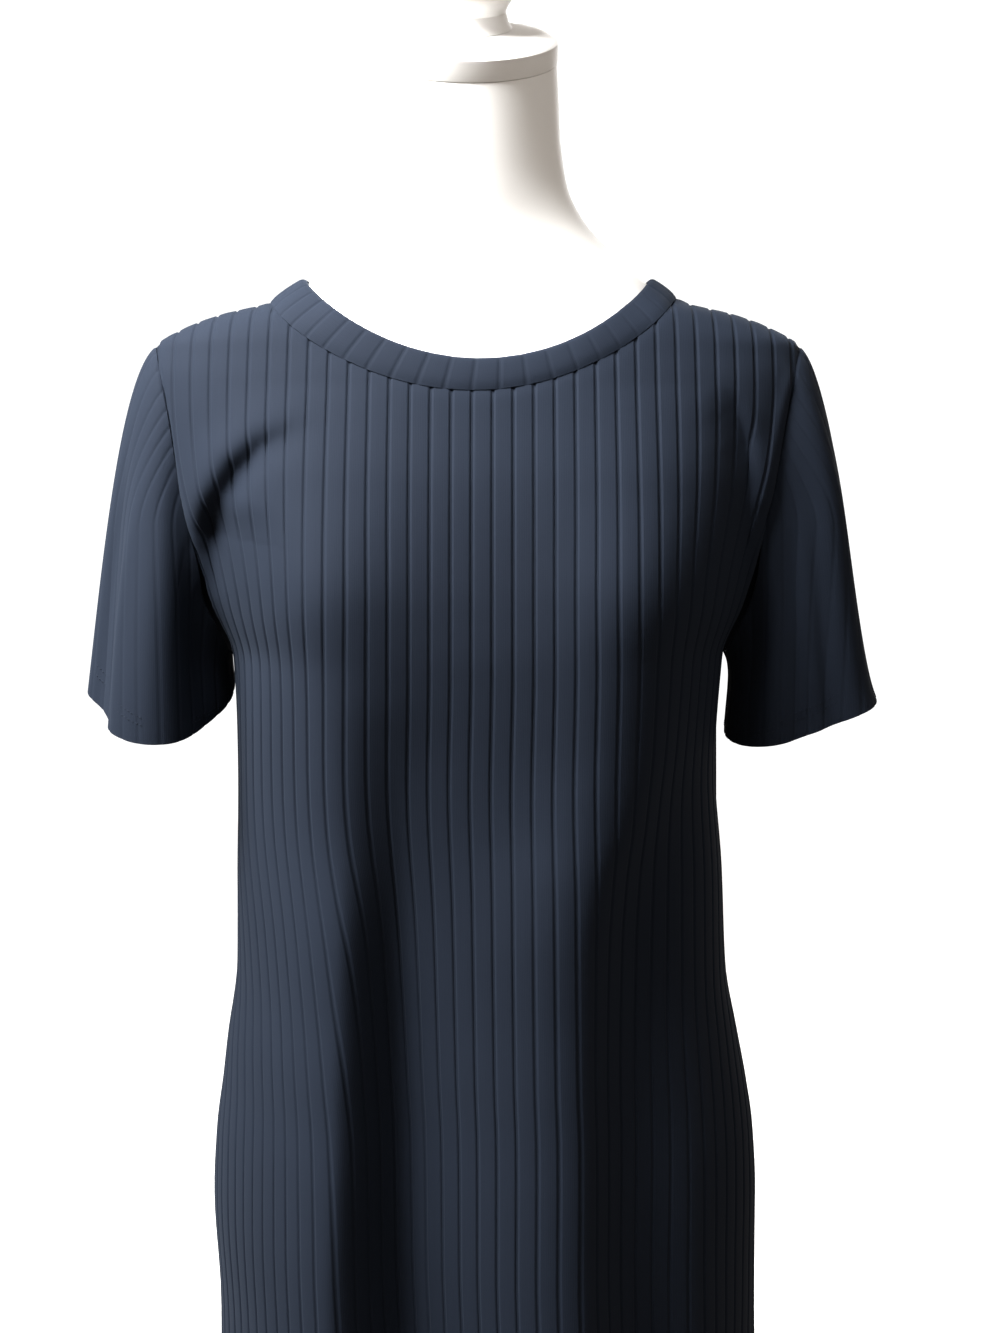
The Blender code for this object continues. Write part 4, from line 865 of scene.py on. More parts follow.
def panel(name, side, neck_z, phase):
    """A body panel: ribbed outer skin, plain inner skin and the cut edge between them."""
    loop = outline(side, neck_z)
    low, high = min(s for s, _ in loop), max(s for s, _ in loop)
    columns = rib_columns(low, high, RIB_OFFSETS, phase)
    columns += rib_columns(*CREASED, CREASE_OFFSETS, phase)
    outer = flat_mesh(loop, columns, BODY_ROWS, OUTER_CLEAR)
    columns = rib_columns(low, high, RIB_OFFSETS[:1], phase)
    inner = flat_mesh(loop, columns, BODY_ROWS[::2], INNER_CLEAR)
    count = len(outer.points)
    faces = outer.faces + [tuple(count + i for i in face[::-1]) for face in inner.faces]
    faces += rim_faces(outer.border, inner.border, count)
    if side.face > 0:
        faces = [face[::-1] for face in faces]
    height = rib_height((outer.points[:, 0] - phase) / RIB_PITCH)
    skins = [worn(side, outer, height, loop)]
    skins.append(worn(side, inner, np.zeros(len(inner.points)), loop))
    grain = np.concatenate([outer.points, inner.points]) - [phase, 0]
    made = piece(name, np.concatenate(skins), faces, grain)
    flat_area = polygon_area(loop)
    return made, flat_area, (high - low, max(t for _, t in loop) - HEM_Z)


def polygon_area(loop):
    s, t = np.array(loop).T
    return 0.5 * abs(s @ np.roll(t, -1) - t @ np.roll(s, -1))


# ------------------------------------------------------------------------------ sleeve


def armhole_loop(which, shares):
    """Points and panel normals round an armhole; shares run -1 (underarm, by the back)
    through 0 (shoulder tip) to 1 (underarm, by the front)."""
    points, normals = np.zeros((len(shares), 3)), np.zeros((len(shares), 3))
    for side, use in ((FRONT, shares >= 0), (BACK, shares < 0)):
        s, t = armhole_edge(side, which, 81)
        edge, out = side.point(s, t), side.normal(s, t)
        steps = np.linalg.norm(np.diff(edge, axis=0), axis=1)
        run = np.concatenate([[0], np.cumsum(steps)])
        at = np.abs(shares[use]) * run[-1]
        for axis in range(3):
            points[use, axis] = np.interp(at, run, edge[:, axis])
            normals[use, axis] = np.interp(at, run, out[:, axis])
    return points, unit(normals)


def sleeve_shares(across):
    """Share of the armhole passed when across (-1 to 1) of the sleeve's width is. The
    sleeve's cap is cut as a cosine, so its edge is longer where the cap is steep."""
    half_width = 0.5 * SLEEVE_RIBS * RIB_PITCH
    at = np.linspace(0, 1, 200)
    slope = SLEEVE_CAP_HEIGHT * 0.5 * math.pi / half_width * np.sin(math.pi * at)
    length = np.hypot(1, slope)
    run = np.concatenate([[0], np.cumsum(0.5 * (length[1:] + length[:-1]))])
    return np.sign(across) * np.interp(np.abs(across), at, run / run[-1])


def cuff_points(which, across):
    """The sleeve hem's ring, from the body round by the back, the outside and the front."""
    shape = SLEEVE_SHAPES[which]
    angle = across * math.pi  # 0 outside, +pi/2 front, pi against the body
    swell = 0.0 * angle
    for flute in shape.flutes:
        away = (np.degrees(angle) - flute.angle + 180) % 360 - 180
        swell = swell + flute.height * np.exp(-((away / flute.width) ** 2))
    outside, front = np.cos(angle), np.sin(angle)
    flare = shape.outer_flare * np.clip(outside, 0, 1) ** 4
    x = shape.x + (shape.half_width + swell) * outside + flare
    y = -(SLEEVE_HEM_HALF_DEPTH + swell) * front
    z = shape.z - shape.front_dip * np.clip(front, -BACK_RISE, 1) + shape.outer_rise * outside
    return np.stack([which * x, y, z], axis=1)


def sleeve_surface(which, across, down):
    """Rings of the sleeve at every down (0 armhole, 1 hem), a curve for each across. A
    curve leaves the armhole outwards and down, and reaches the hem hanging down."""
    outward, downward = np.array([which, 0, 0]), np.array([0, 0, -1.0])
    start, _ = armhole_loop(which, sleeve_shares(across))
    under = underarm_share(start)
    forward = off_armhole(start) * [0, 1, 0] * SLEEVE_SPREAD
    out_share = SLEEVE_OUT + (UNDERARM_OUT - SLEEVE_OUT) * under
    down_share = SLEEVE_DOWN + (UNDERARM_DOWN - SLEEVE_DOWN) * under
    leave = unit(outward * out_share + forward + downward * down_share)
    start = start + leave * ARMHOLE_GAP + outward * UNDERARM_CLEAR * under
    end = cuff_points(which, across)
    outside = np.clip(np.cos(across * math.pi), 0, 1)[:, None]
    arrive = unit(outward * SLEEVE_SHAPES[which].lean * outside + downward)
    length = np.linalg.norm(end - start, axis=1)[:, None]
    first = start + leave * length * (LEAVE_SHARE + UNDERARM_LEAVE * under)
    hold = ARRIVE_SHARE + (SLEEVE_SHAPES[which].hold - ARRIVE_SHARE) * outside
    last = end - arrive * length * hold
    v = down[:, None, None]
    near = (1 - v) ** 3 * start + 3 * v * (1 - v) ** 2 * first
    return near + 3 * v * v * (1 - v) * last + v**3 * end


def sleeve_folds(which, across, down):
    """How far the lengthwise folds raise the sleeve, growing from the cap to the hem."""
    angle = np.degrees(across * math.pi)[None, :]
    v = down[:, None]
    total = 0.0 * angle * v
    for fold in SLEEVE_FOLDS[which]:
        middle = fold.top_angle + (fold.hem_angle - fold.top_angle) * v
        away = (angle - middle + 180) % 360 - 180
        grown = smoothstep((v - fold.starts) / FOLD_GROWTH)
        total = total + fold.height * grown * np.exp(-((away / fold.width) ** 2))
    return total


def sleeve_directions(which, across, down):
    """Outward direction of the sleeve's wall, from short steps along it."""
    step = 1e-3
    below = np.minimum(down + step, 1)
    ahead = sleeve_surface(which, across + step, down)
    behind = sleeve_surface(which, np.maximum(across - step, -1), down)
    low, high = (sleeve_surface(which, across, row) for row in (below, below - 2 * step))
    out = unit(np.cross(ahead - behind, low - high)) * which
    start, body_out = armhole_loop(which, sleeve_shares(across))
    under = underarm_share(start)
    out[0] = unit(armhole_meeting(start, body_out) * (1 - under) + out[0] * under)
    return out


def sleeve_skin(which, across, down, thickness):
    """The sleeve's surface, each point moved out by its folds and its thickness."""
    raised = sleeve_folds(which, across, down) + thickness
    raised = raised - SEAM_SINK * np.exp(-((down[:, None] * SLEEVE_LENGTH / SEAM_SPREAD) ** 2))
    out = sleeve_directions(which, across, down)
    return sleeve_surface(which, across, down) + out * raised[..., None]


def rib_places(which, points):
    """Which rib of the sleeve each point lies on, in pitches. The ribs run straight up
    the arm and meet the armhole slantwise, as they do in a sleeve cut on the straight."""
    shape = SLEEVE_SHAPES[which]
    x, y, z = (points[..., axis] for axis in range(3))
    outside = (which * x - shape.x) / shape.half_width
    outside = outside + smoothstep((z - CAP_FOOT_Z) / (SHOULDER_TIP[1] - CAP_FOOT_Z))
    angle = np.arctan2(-y / SLEEVE_HEM_HALF_DEPTH, outside)
    return (angle / math.pi + 1) * 0.5 * SLEEVE_RIBS


def sleeve(name, which):
    down = np.array(SLEEVE_ROWS)
    across = np.arange(SLEEVE_COLUMNS) / SLEEVE_COLUMNS * 2 - 1
    plain = sleeve_surface(which, across, down)
    place = rib_places(which, plain)
    outer = sleeve_skin(which, across, down, rib_height(place, SLEEVE_CHANNEL_DEPTH))
    inner = sleeve_skin(which, across, down, 0 * place)
    return ribbed_tube(name, outer, inner, place * RIB_PITCH, SLEEVE_LENGTH, which > 0)


def ribbed_tube(name, outer, inner, place, length, flip=False):
    """A tube wall from two grids of rings of the same size; place is each point's
    distance across the flat cloth."""
    rows, around = outer.shape[:2]
    count = rows * around
    faces = []
    for k in range(around):
        after = (k + 1) % around
        for low in range(0, count - around, around):
            a, b = low + k, low + after
            c, d = b + around, a + around
            faces.append((a, d, c, b))
            faces.append((a + count, b + count, c + count, d + count))
        top = count - around
        faces.append((k, after, after + count, k + count))
        faces.append((k + top + count, after + top + count, after + top, k + top))
    if flip:
        faces = [face[::-1] for face in faces]
    along = np.repeat(np.linspace(0, length, rows), around)
    grain = np.stack([np.broadcast_to(place, (rows, around)).ravel(), along], axis=1)
    points = np.concatenate([outer.reshape(-1, 3), inner.reshape(-1, 3)])
    return piece(name, points, faces, np.concatenate([grain, grain]))


# ---------------------------------------------------------------------------- neckband


def neck_ring(turns, width, shift, front_z, back_z):
    """Points and outward directions round the neck opening; turns run 0 to 2 pi, the
    first half along the front from the wearer's left to right, then back behind."""
    points, out = np.zeros((len(turns), 3)), np.zeros((len(turns), 3))
    before = turns < math.pi
    for side, middle_z, use in ((FRONT, front_z, before), (BACK, back_z, ~before)):
        from_middle = width * np.cos(turns[use])
        s, z = from_middle + shift, neck_level(side, from_middle, width, shift, middle_z)
        t = np.minimum(side.pattern_t(s, z), side.top_t(s) - 1e-4)
        points[use], out[use] = side.point(s, t), side.normal(s, t)
    return points, out


def neckband_rows(turns):
    """The band from its sewn edge to its fold, each row as points and directions."""
    front, back = FRONT_NECK_Z, BACK_NECK_Z
    edge, edge_out = neck_ring(turns, NECK_HALF_WIDTH, NECK_SHIFT, front, back)
    front, back = front + NECKBAND_FRONT_RISE, back + NECKBAND_BACK_RISE
    inner, inner_out = neck_ring(turns, NECK_HALF_WIDTH - NECKBAND_WIDTH, 0.0, front, back)
    v = np.array(NECKBAND_ROWS)[:, None, None]
    out = unit(edge_out * (1 - v) + inner_out * v)
    return edge * (1 - v) + inner * v + 4 * v * (1 - v) * NECKBAND_SWELL * out, out


def neckband(name):
    """A folded strip round the neck opening, its ribs running across it."""
    turns = (np.arange(NECKBAND_RIBS)[:, None] + RIB_OFFSETS).ravel() / NECKBAND_RIBS
    points, out = neckband_rows(turns * 2 * math.pi)
    v = np.array(NECKBAND_ROWS)[:, None]
    height = np.tile(rib_height(RIB_OFFSETS, BAND_CHANNEL_DEPTH), NECKBAND_RIBS)
    height = height + NECKBAND_WALL - CLOTH
    over = (v - NECKBAND_ROUND) / (1 - NECKBAND_ROUND)
    fold = np.sqrt(np.clip(1 - over**2, NECKBAND_FOLD, 1))
    rounded = np.where(v > NECKBAND_ROUND, fold, 1)
    sunk = SEAM_SINK * np.exp(-((v * NECKBAND_WIDTH / SEAM_SPREAD) ** 2))
    outer = points + out * (height * rounded - sunk)[..., None]
    place = turns * NECKBAND_RIBS * RIB_PITCH
    return ribbed_tube(name, outer, points, place, NECKBAND_WIDTH)


# ------------------------------------------------------------------------- dress form


def form_ring(z):
    """One level ring of the torso, its front raised over the bust."""
    turn = np.arange(FORM_STEPS) / FORM_STEPS * 2 * math.pi
    power = 2 / FORM.power(z)
    x = FORM.half_width(z) * np.sign(np.sin(turn)) * np.abs(np.sin(turn)) ** power
    depth = np.where(np.cos(turn) > 0, FORM.front(z), FORM.back(z))
    y = -depth * np.sign(np.cos(turn)) * np.abs(np.cos(turn)) ** power
    drop = (z - BUST_Z) / (BUST_FALL if z < BUST_Z else BUST_CLIMB)
    bust = 0.0
    for apex in BUST_X:
        bust = bust + BUST_HEIGHT * np.exp(-(((x - apex) / BUST_SPREAD) ** 2) - drop**2)
    y = y - bust * (np.cos(turn) > 0) + Profile(FORM_LEAN)(z)
    return np.stack([x + FORM.shift(z), y, np.full(FORM_STEPS, z)], axis=1)


def neck_top_ring():
    """The sloping round edge on which the neck cap sits."""
    turn = np.arange(FORM_STEPS) / FORM_STEPS * 2 * math.pi
    forward = np.array([0, -math.cos(NECK_TOP_TILT), -math.sin(NECK_TOP_TILT)])
    sideways = np.outer(np.sin(turn), [1, 0, 0])
    return np.array(NECK_TOP) + CAP_RADIUS * (sideways + np.outer(np.cos(turn), forward))


def form_torso(name):
    last = form_ring(NECK_JOIN_Z)
    top = neck_top_ring()
    levels = np.linspace(FORM_BOTTOM_Z, NECK_JOIN_Z, FORM_RINGS)
    rings = [form_ring(z) for z in levels[:-1]]
    rings += [last * (1 - u) + top * u for u in np.linspace(0, 1, NECK_RINGS)]
    rings[0][:, :2] *= FORM_FOOT_SHARE
    faces = []
    for low in range(0, (len(rings) - 1) * FORM_STEPS, FORM_STEPS):
        for k in range(FORM_STEPS):
            a, b = low + k, low + (k + 1) % FORM_STEPS
            faces.append((a, b, b + FORM_STEPS, a + FORM_STEPS))
    high = (len(rings) - 1) * FORM_STEPS
    faces += [range(FORM_STEPS)[::-1], range(high, high + FORM_STEPS)]
    points = np.concatenate(rings)
    return piece(name, points, faces, points[:, :2], 50)


def turned(name, profile, steps, tilt=0.0, centre=(0, 0, 0)):
    """A solid of revolution about Z from (radius, height) points, bottom to top."""
    line = np.array(profile, float)
    turn = np.arange(steps) / steps * 2 * math.pi
    rings = [np.stack([r * np.cos(turn), r * np.sin(turn), 0 * turn + z], 1) for r, z in line[1:-1]]
    points = np.concatenate([*rings, [[0, 0, line[0, 1]]], [[0, 0, line[-1, 1]]]])
    count, faces = len(rings) * steps, []
    for low in range(0, count - steps, steps):
        for k in range(steps):
            a, b = low + k, low + (k + 1) % steps
            faces.append((a, b, b + steps, a + steps))
    for k in range(steps):
        after = (k + 1) % steps
        faces.append((count, after, k))
        faces.append((count + 1, count - steps + k, count - steps + after))
    c, s = math.cos(tilt), math.sin(tilt)
    turn_x = np.array([[1, 0, 0], [0, c, -s], [0, s, c]])
    placed = points @ turn_x.T + np.array(centre)
    return piece(name, placed, faces, points[:, :2], 35)


def neck_cap(name):
    """A shallow domed disc on the neck's sloping top. Returns it and its height."""
    rim = CAP_RADIUS + CAP_OVERHANG
    dome = [
        (CAP_RADIUS * math.cos(a), CAP_RIM + CAP_DOME * math.sin(a))
        for a in np.linspace(0.0, CAP_DOME_ANGLE, 12)
    ]
    height = dome[-1][1]
    under = [(CAP_RADIUS - CAP_CHAMFER, 0), (rim - 0.3 * CAP_CHAMFER, 0.4 * CAP_CHAMFER)]
    edge = [*under, (rim, 1.5 * CAP_CHAMFER), (rim, CAP_RIM)]
    profile = [(0, 0), *edge, *dome[1:], (0, height)]
    return turned(name, profile, 96, NECK_TOP_TILT, NECK_TOP), height


def knob(name, cap_height):
    """A ball on a short waisted stem, standing on the neck cap."""
    angles = np.linspace(KNOB_NECK_ANGLE, math.pi, 30)[1:-1]
    ball = [
        (KNOB_RADIUS * math.sin(a), KNOB_MIDDLE - KNOB_RADIUS * math.cos(a)) for a in angles
    ]
    profile = [*KNOB_STEM, *ball, (0, KNOB_MIDDLE + KNOB_RADIUS)]
    centre = np.array(NECK_TOP) + NECK_UP * cap_height
    return turned(name, profile, 72, NECK_TOP_TILT, centre)


def stand_pole(name):
    """A plain pole from the base up to a round flange under the torso."""
    height = FORM_BOTTOM_Z - BASE_THICKNESS
    profile = [(0, 0), (POLE_RADIUS, 0), (POLE_RADIUS, height - 2 * FLANGE_THICKNESS)]
    profile += [(FLANGE_RADIUS, height - FLANGE_THICKNESS), (FLANGE_RADIUS, height), (0, height)]
    return turned(name, profile, 48, centre=(0, 0, BASE_THICKNESS))


def stand_base(name):
    inside, height = BASE_RADIUS - BASE_CHAMFER, BASE_THICKNESS
    rim = [(0, 0), (inside, 0), (BASE_RADIUS, BASE_CHAMFER)]
    rim += [(BASE_RADIUS, height - BASE_ROUND), (inside, height - BASE_CHAMFER)]
    rim += [(BASE_RADIUS - BASE_ROUND, height), (0, height)]
    return turned(name, rim, 128)


# --------------------------------------------------------------------------- stitches


def stitch_tree():
    """Geometry Nodes that set stitches of a given length along a curve's edges."""
    tree = bpy.data.node_groups.new("stitches", "GeometryNodeTree")
    tree.interface.new_socket("Geometry", in_out="INPUT", socket_type="NodeSocketGeometry")
    wanted = {"Pitch": STITCH_PITCH, "Length": STITCH_LENGTH, "Radius": THREAD_RADIUS}
    for name, value in wanted.items():
        socket = tree.interface.new_socket(name, in_out="INPUT", socket_type="NodeSocketFloat")
        socket.default_value = value
    tree.interface.new_socket("Thread", in_out="INPUT", socket_type="NodeSocketMaterial")
    tree.interface.new_socket("Geometry", in_out="OUTPUT", socket_type="NodeSocketGeometry")
    start, end = tree.nodes.new("NodeGroupInput"), tree.nodes.new("NodeGroupOutput")

    def node(kind, links, **settings):
        made = tree.nodes.new("GeometryNode" + kind)
        for key, value in settings.items():
            setattr(made, key, value)
        for socket, source in links.items():
            tree.links.new(source, made.inputs[socket])
        return made

    curve = node("MeshToCurve", {"Mesh": start.outputs["Geometry"]})
    spacing = {"Curve": curve.outputs["Curve"], "Length": start.outputs["Pitch"]}
    even = node("ResampleCurve", spacing, mode="LENGTH")
    tangent = node("InputTangent", {})
    turn = tree.nodes.new("FunctionNodeAlignRotationToVector")
    turn.axis = "Z"
    tree.links.new(tangent.outputs["Tangent"], turn.inputs["Vector"])
    size = {"Radius": start.outputs["Radius"], "Depth": start.outputs["Length"]}
    thread = node("MeshCylinder", size)
    thread.inputs["Vertices"].default_value = 6
    soft = node("SubdivisionSurface", {"Mesh": thread.outputs["Mesh"]})
    soft.inputs["Level"].default_value = 1
    laid = {"Points": even.outputs["Curve"], "Instance": soft.outputs["Mesh"]}
    placed = node("InstanceOnPoints", {**laid, "Rotation": turn.outputs["Rotation"]})
    real = node("RealizeInstances", {"Geometry": placed.outputs["Instances"]})
    smooth = node("SetShadeSmooth", {"Geometry": real.outputs["Geometry"]})
    dyed = {"Geometry": smooth.outputs["Geometry"], "Material": start.outputs["Thread"]}
    finish = node("SetMaterial", dyed)
    tree.links.new(finish.outputs["Geometry"], end.inputs["Geometry"])
    return tree


def stitches(name, lines, tree, thread):
    """Stitches along lines of points, made by the tree and turned into a plain mesh."""
    points, edges = [], []
    for line in lines:
        first = len(points)
        points += np.asarray(line).tolist()
        edges += [(first + k, first + k + 1) for k in range(len(line) - 1)]
    mesh = bpy.data.meshes.new(name + "_path")
    mesh.from_pydata(points, edges, [])
    path = bpy.data.objects.new(name + "_path", mesh)
    bpy.context.scene.collection.objects.link(path)
    modifier = path.modifiers.new("stitches", "NODES")
    modifier.node_group = tree
    inputs = [item for item in tree.interface.items_tree if item.in_out == "INPUT"]
    sockets = {item.name: item.identifier for item in inputs}
    modifier[sockets["Pitch"]] = STITCH_PITCH
    modifier[sockets["Length"]] = STITCH_LENGTH
    modifier[sockets["Radius"]] = THREAD_RADIUS
    modifier[sockets["Thread"]] = thread
    graph = bpy.context.evaluated_depsgraph_get()
    made = bpy.data.meshes.new_from_object(path.evaluated_get(graph), depsgraph=graph)
    made.name = name
    bpy.data.objects.remove(path)
    obj = bpy.data.objects.new(name, made)
    bpy.context.scene.collection.objects.link(obj)
    return obj


def body_hem_lines(side, phase):
    """Two rows of coverstitch round a panel's hem, lying on its ribs."""
    lines = []
    for row in HEM_STITCH_ROWS:
        t = HEM_Z + row
        low, high = side.seam_s(t, -1), side.seam_s(t, 1)
        s = np.arange(low + HEM_STITCH_CLEAR, high - HEM_STITCH_CLEAR, STITCH_LINE_STEP)
        level = np.full(len(s), t)
        lift = rib_height((s - phase) / RIB_PITCH) + THREAD_LIFT
        lines.append(side.point(s, level) + side.normal(s, level) * lift[:, None])
    return lines


def sleeve_hem_lines(which):
    lines = []
    across = np.linspace(-1, 1, 900)
    for row in SLEEVE_STITCH_ROWS:
        down = np.array([1 - row / SLEEVE_LENGTH])
        place = rib_places(which, sleeve_surface(which, across, down))
        lifted = rib_height(place, SLEEVE_CHANNEL_DEPTH) + THREAD_LIFT
        lines.append(sleeve_skin(which, across, down, lifted)[0])
    return lines


# -------------------------------------------------------------------------- materials


class Wire:
    """A shader value that takes part in plain arithmetic."""

    def __init__(self, shader, socket):
        self.shader, self.socket = shader, socket

    def __add__(self, other):
        return self.shader.math("ADD", self, other)

    def __mul__(self, other):
        return self.shader.math("MULTIPLY", self, other)

    def __pow__(self, other):
        return self.shader.math("POWER", self, other)

    def wave(self, length):
        """A cosine of this value, from 0 to 1, one full wave every length."""
        return self.shader.math("COSINE", self * (2 * math.pi / length)) * 0.5 + 0.5

    __radd__, __rmul__ = __add__, __mul__


class Shader:
    """A material under construction, its nodes made by one method."""

    def __init__(self, name, roughness, metallic=0.0, **settings):
        self.material = bpy.data.materials.new(name)
        self.material.use_nodes = True
        self.tree = self.material.node_tree
        self.principled = self.tree.nodes["Principled BSDF"]
        self.set("Roughness", roughness)
        self.set("Metallic", metallic)
        for socket, value in settings.items():
            self.set(socket.replace("_", " ").title(), value)

    def set(self, socket, value):
        if isinstance(value, Wire):
            self.tree.links.new(value.socket, self.principled.inputs[socket])
        else:
            self.principled.inputs[socket].default_value = value

    def node(self, kind, output, values=None, **settings):
        made = self.tree.nodes.new("ShaderNode" + kind)
        for key, value in settings.items():
            setattr(made, key, value)
        for socket, value in (values or {}).items():
            if isinstance(value, Wire):
                self.tree.links.new(value.socket, made.inputs[socket])
            else:
                made.inputs[socket].default_value = value
        return Wire(self, made.outputs[output])

    def math(self, kind, *values):
        return self.node("Math", 0, dict(enumerate(values)), operation=kind)

    def grain(self):
        """Place in the flat cloth: across from a channel, and up or down the grain."""
        place = self.node("UVMap", "UV", uv_map="grain")
        return (self.node("SeparateXYZ", axis, {"Vector": place}) for axis in "XY")

    def at(self):
        return self.node("TexCoord", "Object")

    def noise(self, scale, detail=3.0, vector=None):
        values = {"Vector": vector or self.at(), "Scale": scale, "Detail": detail}
        return self.node("TexNoise", 0, values)

    def join(self, x, y, z=0.0):
        return self.node("CombineXYZ", "Vector", {"X": x, "Y": y, "Z": z})

    def mix(self, share, low, high):
        """A colour between two; low may itself be a colour under construction."""
        first = low if isinstance(low, Wire) else (*low, 1)
        return self.node("Mix", 2, {0: share, 6: first, 7: (*high, 1)}, data_type="RGBA")

    def bump(self, height, strength, distance):
        values = {"Height": height, "Strength": strength, "Distance": distance}
        self.set("Normal", self.node("Bump", "Normal", values))


def rib_knit(name):
    """Fine rib jersey: wales along the grain, V-shaped courses, and painted shade darkening the
    sunk channels.
    """
    shader = Shader(name, 0.82, sheen_weight=0.025, sheen_roughness=0.5)
    shader.set("Sheen Tint", (*SHEEN_TINT, 1))
    shader.set("Specular IOR Level", FIBRE_SPECULAR)
    across, along = shader.grain()
    rib = across.wave(RIB_PITCH)
    # painted shade: the base colour is darkened in the sunk channels, where shadow falls
    channel_shade_mask = rib**CHANNEL_SHARPNESS
    leg = across.wave(WALE_PITCH)
    course = (along + leg * (0.45 * COURSE_PITCH)).wave(COURSE_PITCH)
    yarn = shader.noise(2200.0, 2.0)
    cloud = shader.noise(9.0, 4.0)
    streak = shader.noise(1.0, 2.0, shader.join(across * 420.0, along * 9.0))
    share = cloud * 0.45 + streak * 0.35 + yarn * 0.2
    colour = shader.mix(share, KNIT_DARK, KNIT_LIGHT)
    shader.set("Base Color", shader.mix(channel_shade_mask * CHANNEL_PAINTED_SHADE_SHARE, colour, PAINTED_CHANNEL_SHADE))
    shader.set("Roughness", 0.76 + cloud * 0.06 + yarn * 0.08)
    height = leg * 0.45 + course * 0.35 + yarn * 0.2
    shader.bump(height, 0.30, 0.00025)
    return shader.material


def white_shell(name):
    """Smooth satin white shell with the faintest mottle."""
    shader = Shader(name, 0.42)
    shader.set("Base Color", shader.mix(shader.noise(7.0), SHELL_DARK, SHELL_LIGHT))
    shader.set("Roughness", 0.38 + shader.noise(40.0) * 0.10)
    shader.bump(shader.noise(300.0), 0.05, 0.0002)
    return shader.material


def satin_steel(name):
    shader = Shader(name, 0.33, 1.0)
    shader.set("Base Color", shader.mix(shader.noise(12.0), STEEL_DARK, STEEL_LIGHT))
    shader.set("Roughness", 0.28 + shader.noise(60.0, 4.0) * 0.14)
    shader.bump(shader.noise(700.0), 0.04, 0.0001)
    return shader.material


def sewing_thread(name):
    shader = Shader(name, 0.6)
    shader.set("Base Color", shader.mix(shader.noise(900.0), KNIT_DARK, THREAD_LIGHT))
    shader.set("Specular IOR Level", FIBRE_SPECULAR)
    shader.set("Roughness", 0.5 + shader.noise(1500.0) * 0.2)
    return shader.material


def pale_floor(name):
    shader = Shader(name, 0.9)
    shader.set("Base Color", shader.mix(shader.noise(1.5), FLOOR_DARK, FLOOR_LIGHT))
    shader.set("Emission Color", (1, 1, 1, 1))
    shader.set("Emission Strength", FLOOR_GLOW)
    return shader.material


def white_glow(name):
    shader = Shader(name, 1.0)
    shader.set("Base Color", (0, 0, 0, 1))
    shader.set("Emission Color", (1, 1, 1, 1))
    shader.set("Emission Strength", DRUM_GLOW)
    return shader.material


# ------------------------------------------------------------------------------ stage


def stage_mesh(name, points, faces, finish):
    mesh = bpy.data.meshes.new(name)
    mesh.from_pydata(points, [], faces)
    mesh.materials.append(finish)
    obj = bpy.data.objects.new(name, mesh)
    bpy.context.scene.collection.objects.link(obj)
    return obj


def floor():
    around = ((-1, -1), (1, -1), (1, 1), (-1, 1))
    corners = [(x * FLOOR_REACH, y * FLOOR_REACH, 0) for x, y in around]
    made = stage_mesh("floor", corners, [(0, 1, 2, 3)], pale_floor("pale_floor"))
    made.visible_diffuse = made.visible_glossy = False


def surround():
    """A plain white drum round the stage that only the camera sees."""
    steps = DRUM_STEPS
    turn = np.arange(steps) / steps * 2 * math.pi
    ring = [(DRUM_REACH * math.cos(a), DRUM_REACH * math.sin(a)) for a in turn]
    points = [(x, y, z) for z in (-0.001, DRUM_TOP) for x, y in ring]
    faces = [(k, k + steps, (k + 1) % steps + steps, (k + 1) % steps) for k in range(steps)]
    faces.append(tuple(range(steps, 2 * steps)))
    drum = stage_mesh("surround", points, faces, white_glow("white_glow"))
    drum.visible_diffuse = drum.visible_glossy = drum.visible_shadow = False
    drum.visible_transmission = False


def soft_light(name, place, size, energy):
    light = bpy.data.lights.new(name, "AREA")
    light.shape, light.size, light.size_y = "RECTANGLE", size, size
    light.energy = energy
    obj = bpy.data.objects.new(name, light)
    bpy.context.scene.collection.objects.link(obj)
    obj.location = place
    away = np.array(LIT_PLACE) - np.array(place)
    obj.rotation_euler = Vector(away).to_track_quat("-Z", "Y").to_euler()


def lights():
    soft_light("key", KEY_PLACE, KEY_SIZE, KEY_ENERGY)
    soft_light("fill", FILL_PLACE, FILL_SIZE, FILL_ENERGY)
    soft_light("back", BACK_PLACE, BACK_SIZE, BACK_ENERGY)
    world = bpy.data.worlds.new("room")
    world.use_nodes = True
    world.node_tree.nodes["Background"].inputs["Color"].default_value = (*ROOM_TINT, 1)
    world.node_tree.nodes["Background"].inputs["Strength"].default_value = ROOM_LIGHT
    bpy.context.scene.world = world


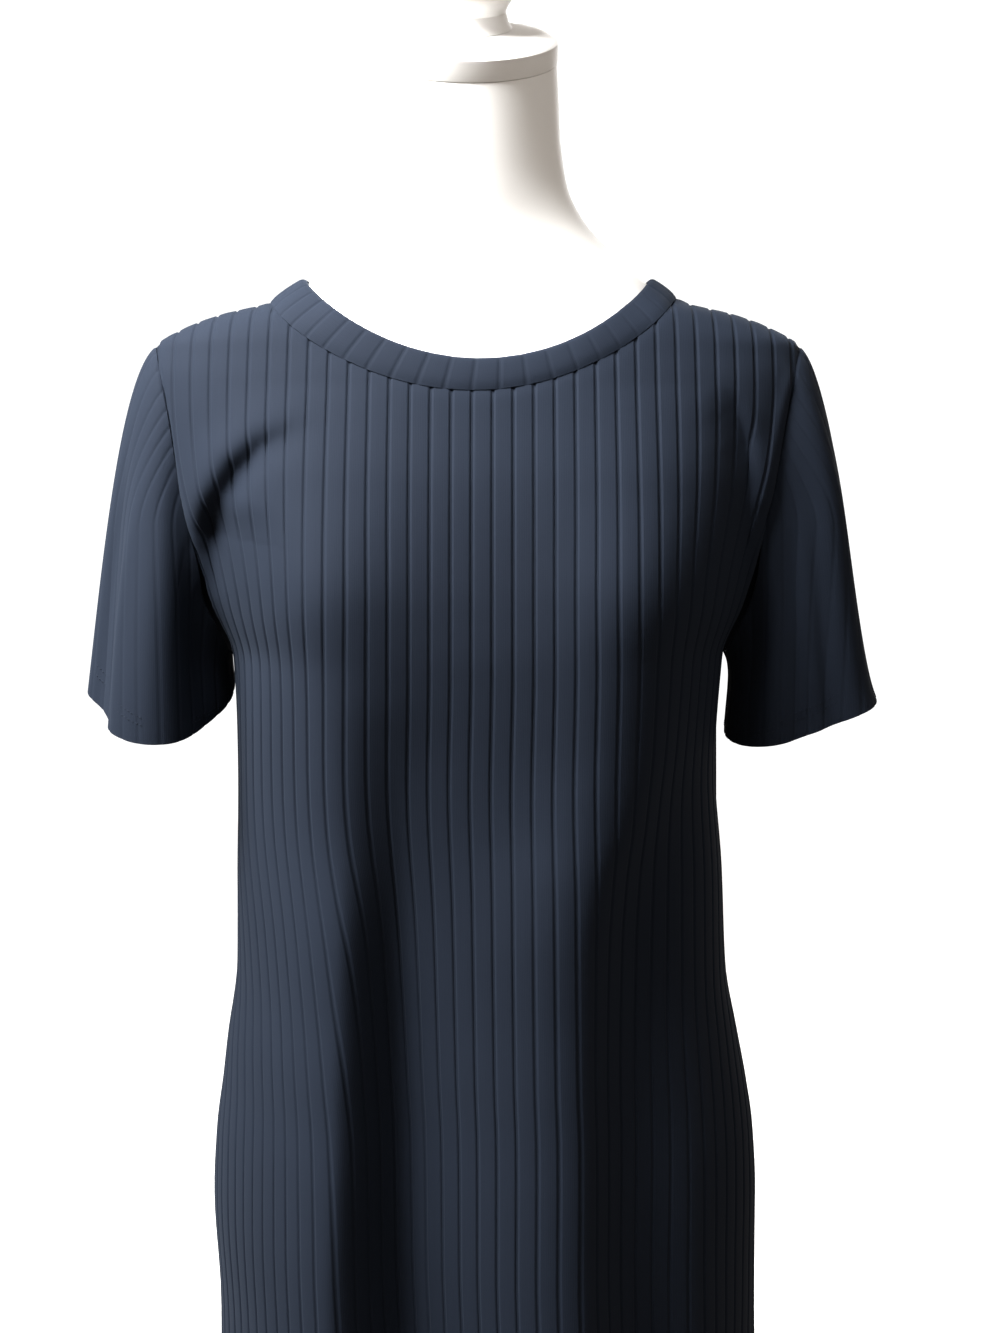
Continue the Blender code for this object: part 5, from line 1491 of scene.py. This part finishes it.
def camera():
    data = bpy.data.cameras.new("camera")
    data.lens, data.sensor_width, data.sensor_fit = LENS, SENSOR, "AUTO"
    obj = bpy.data.objects.new("camera", data)
    bpy.context.scene.collection.objects.link(obj)
    obj.location = CAMERA_PLACE
    obj.rotation_euler = (math.radians(90 - CAMERA_DOWN), 0, 0)
    bpy.context.scene.camera = obj


# ------------------------------------------------------------------------------- main


def dress(made, node, finish):
    """Says what a finished piece rides on, replaces and is made of."""
    made.data.materials.clear()
    made.data.materials.append(finish)
    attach(made, "root")
    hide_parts(*([node] if node else []))
    return made


def sleeve_flat(obj):
    """Flat width, length and area of a sleeve, measured as half of its two skins."""
    area = 0.5 * sum(face.area for face in obj.data.polygons)
    width = SLEEVE_RIBS * RIB_PITCH
    return (width, area / width * SLEEVE_CUT_SHARE), area


def build():
    knit, thread = rib_knit("rib_knit"), sewing_thread("thread")
    shell, steel = white_shell("white_shell"), satin_steel("satin_steel")
    tree = stitch_tree()
    front, front_area, front_size = panel("front_cloth", FRONT, FRONT_NECK_Z, FRONT_RIB_PHASE)
    back, back_area, back_size = panel("back_cloth", BACK, BACK_NECK_Z, BACK_RIB_PHASE)
    for made, node, side, phase, area, size in (
        (front, "front_panel", FRONT, FRONT_RIB_PHASE, front_area, front_size),
        (back, "back_panel", BACK, BACK_RIB_PHASE, back_area, back_size),
    ):
        dress(made, node, knit)
        hem = stitches(node + "_hem_stitches", body_hem_lines(side, phase), tree, thread)
        dress(hem, None, thread)
    for name, which in (("sleeve_left", 1), ("sleeve_right", -1)):
        made = dress(sleeve(name + "_cloth", which), name, knit)
        hem = stitches(name + "_hem_stitches", sleeve_hem_lines(which), tree, thread)
        dress(hem, None, thread)
        size, area = sleeve_flat(made)
    band = dress(neckband("neckband_cloth"), "neckband", knit)
    band_area = sum(face.area for face in band.data.polygons) * 0.5
    length = band_area / NECKBAND_WIDTH
    dress(form_torso("torso_shell"), "form_torso", shell)
    cap, height = neck_cap("neck_cap_shell")
    dress(cap, "form_neck_cap", shell)
    dress(knob("knob_shell", height), "form_knob", shell)
    dress(stand_pole("pole_steel"), "stand_pole", steel)
    dress(stand_base("base_steel"), "stand_base", steel)


build()
floor()
surround()
lights()
camera()
bpy.context.scene.view_settings.view_transform = "Standard"
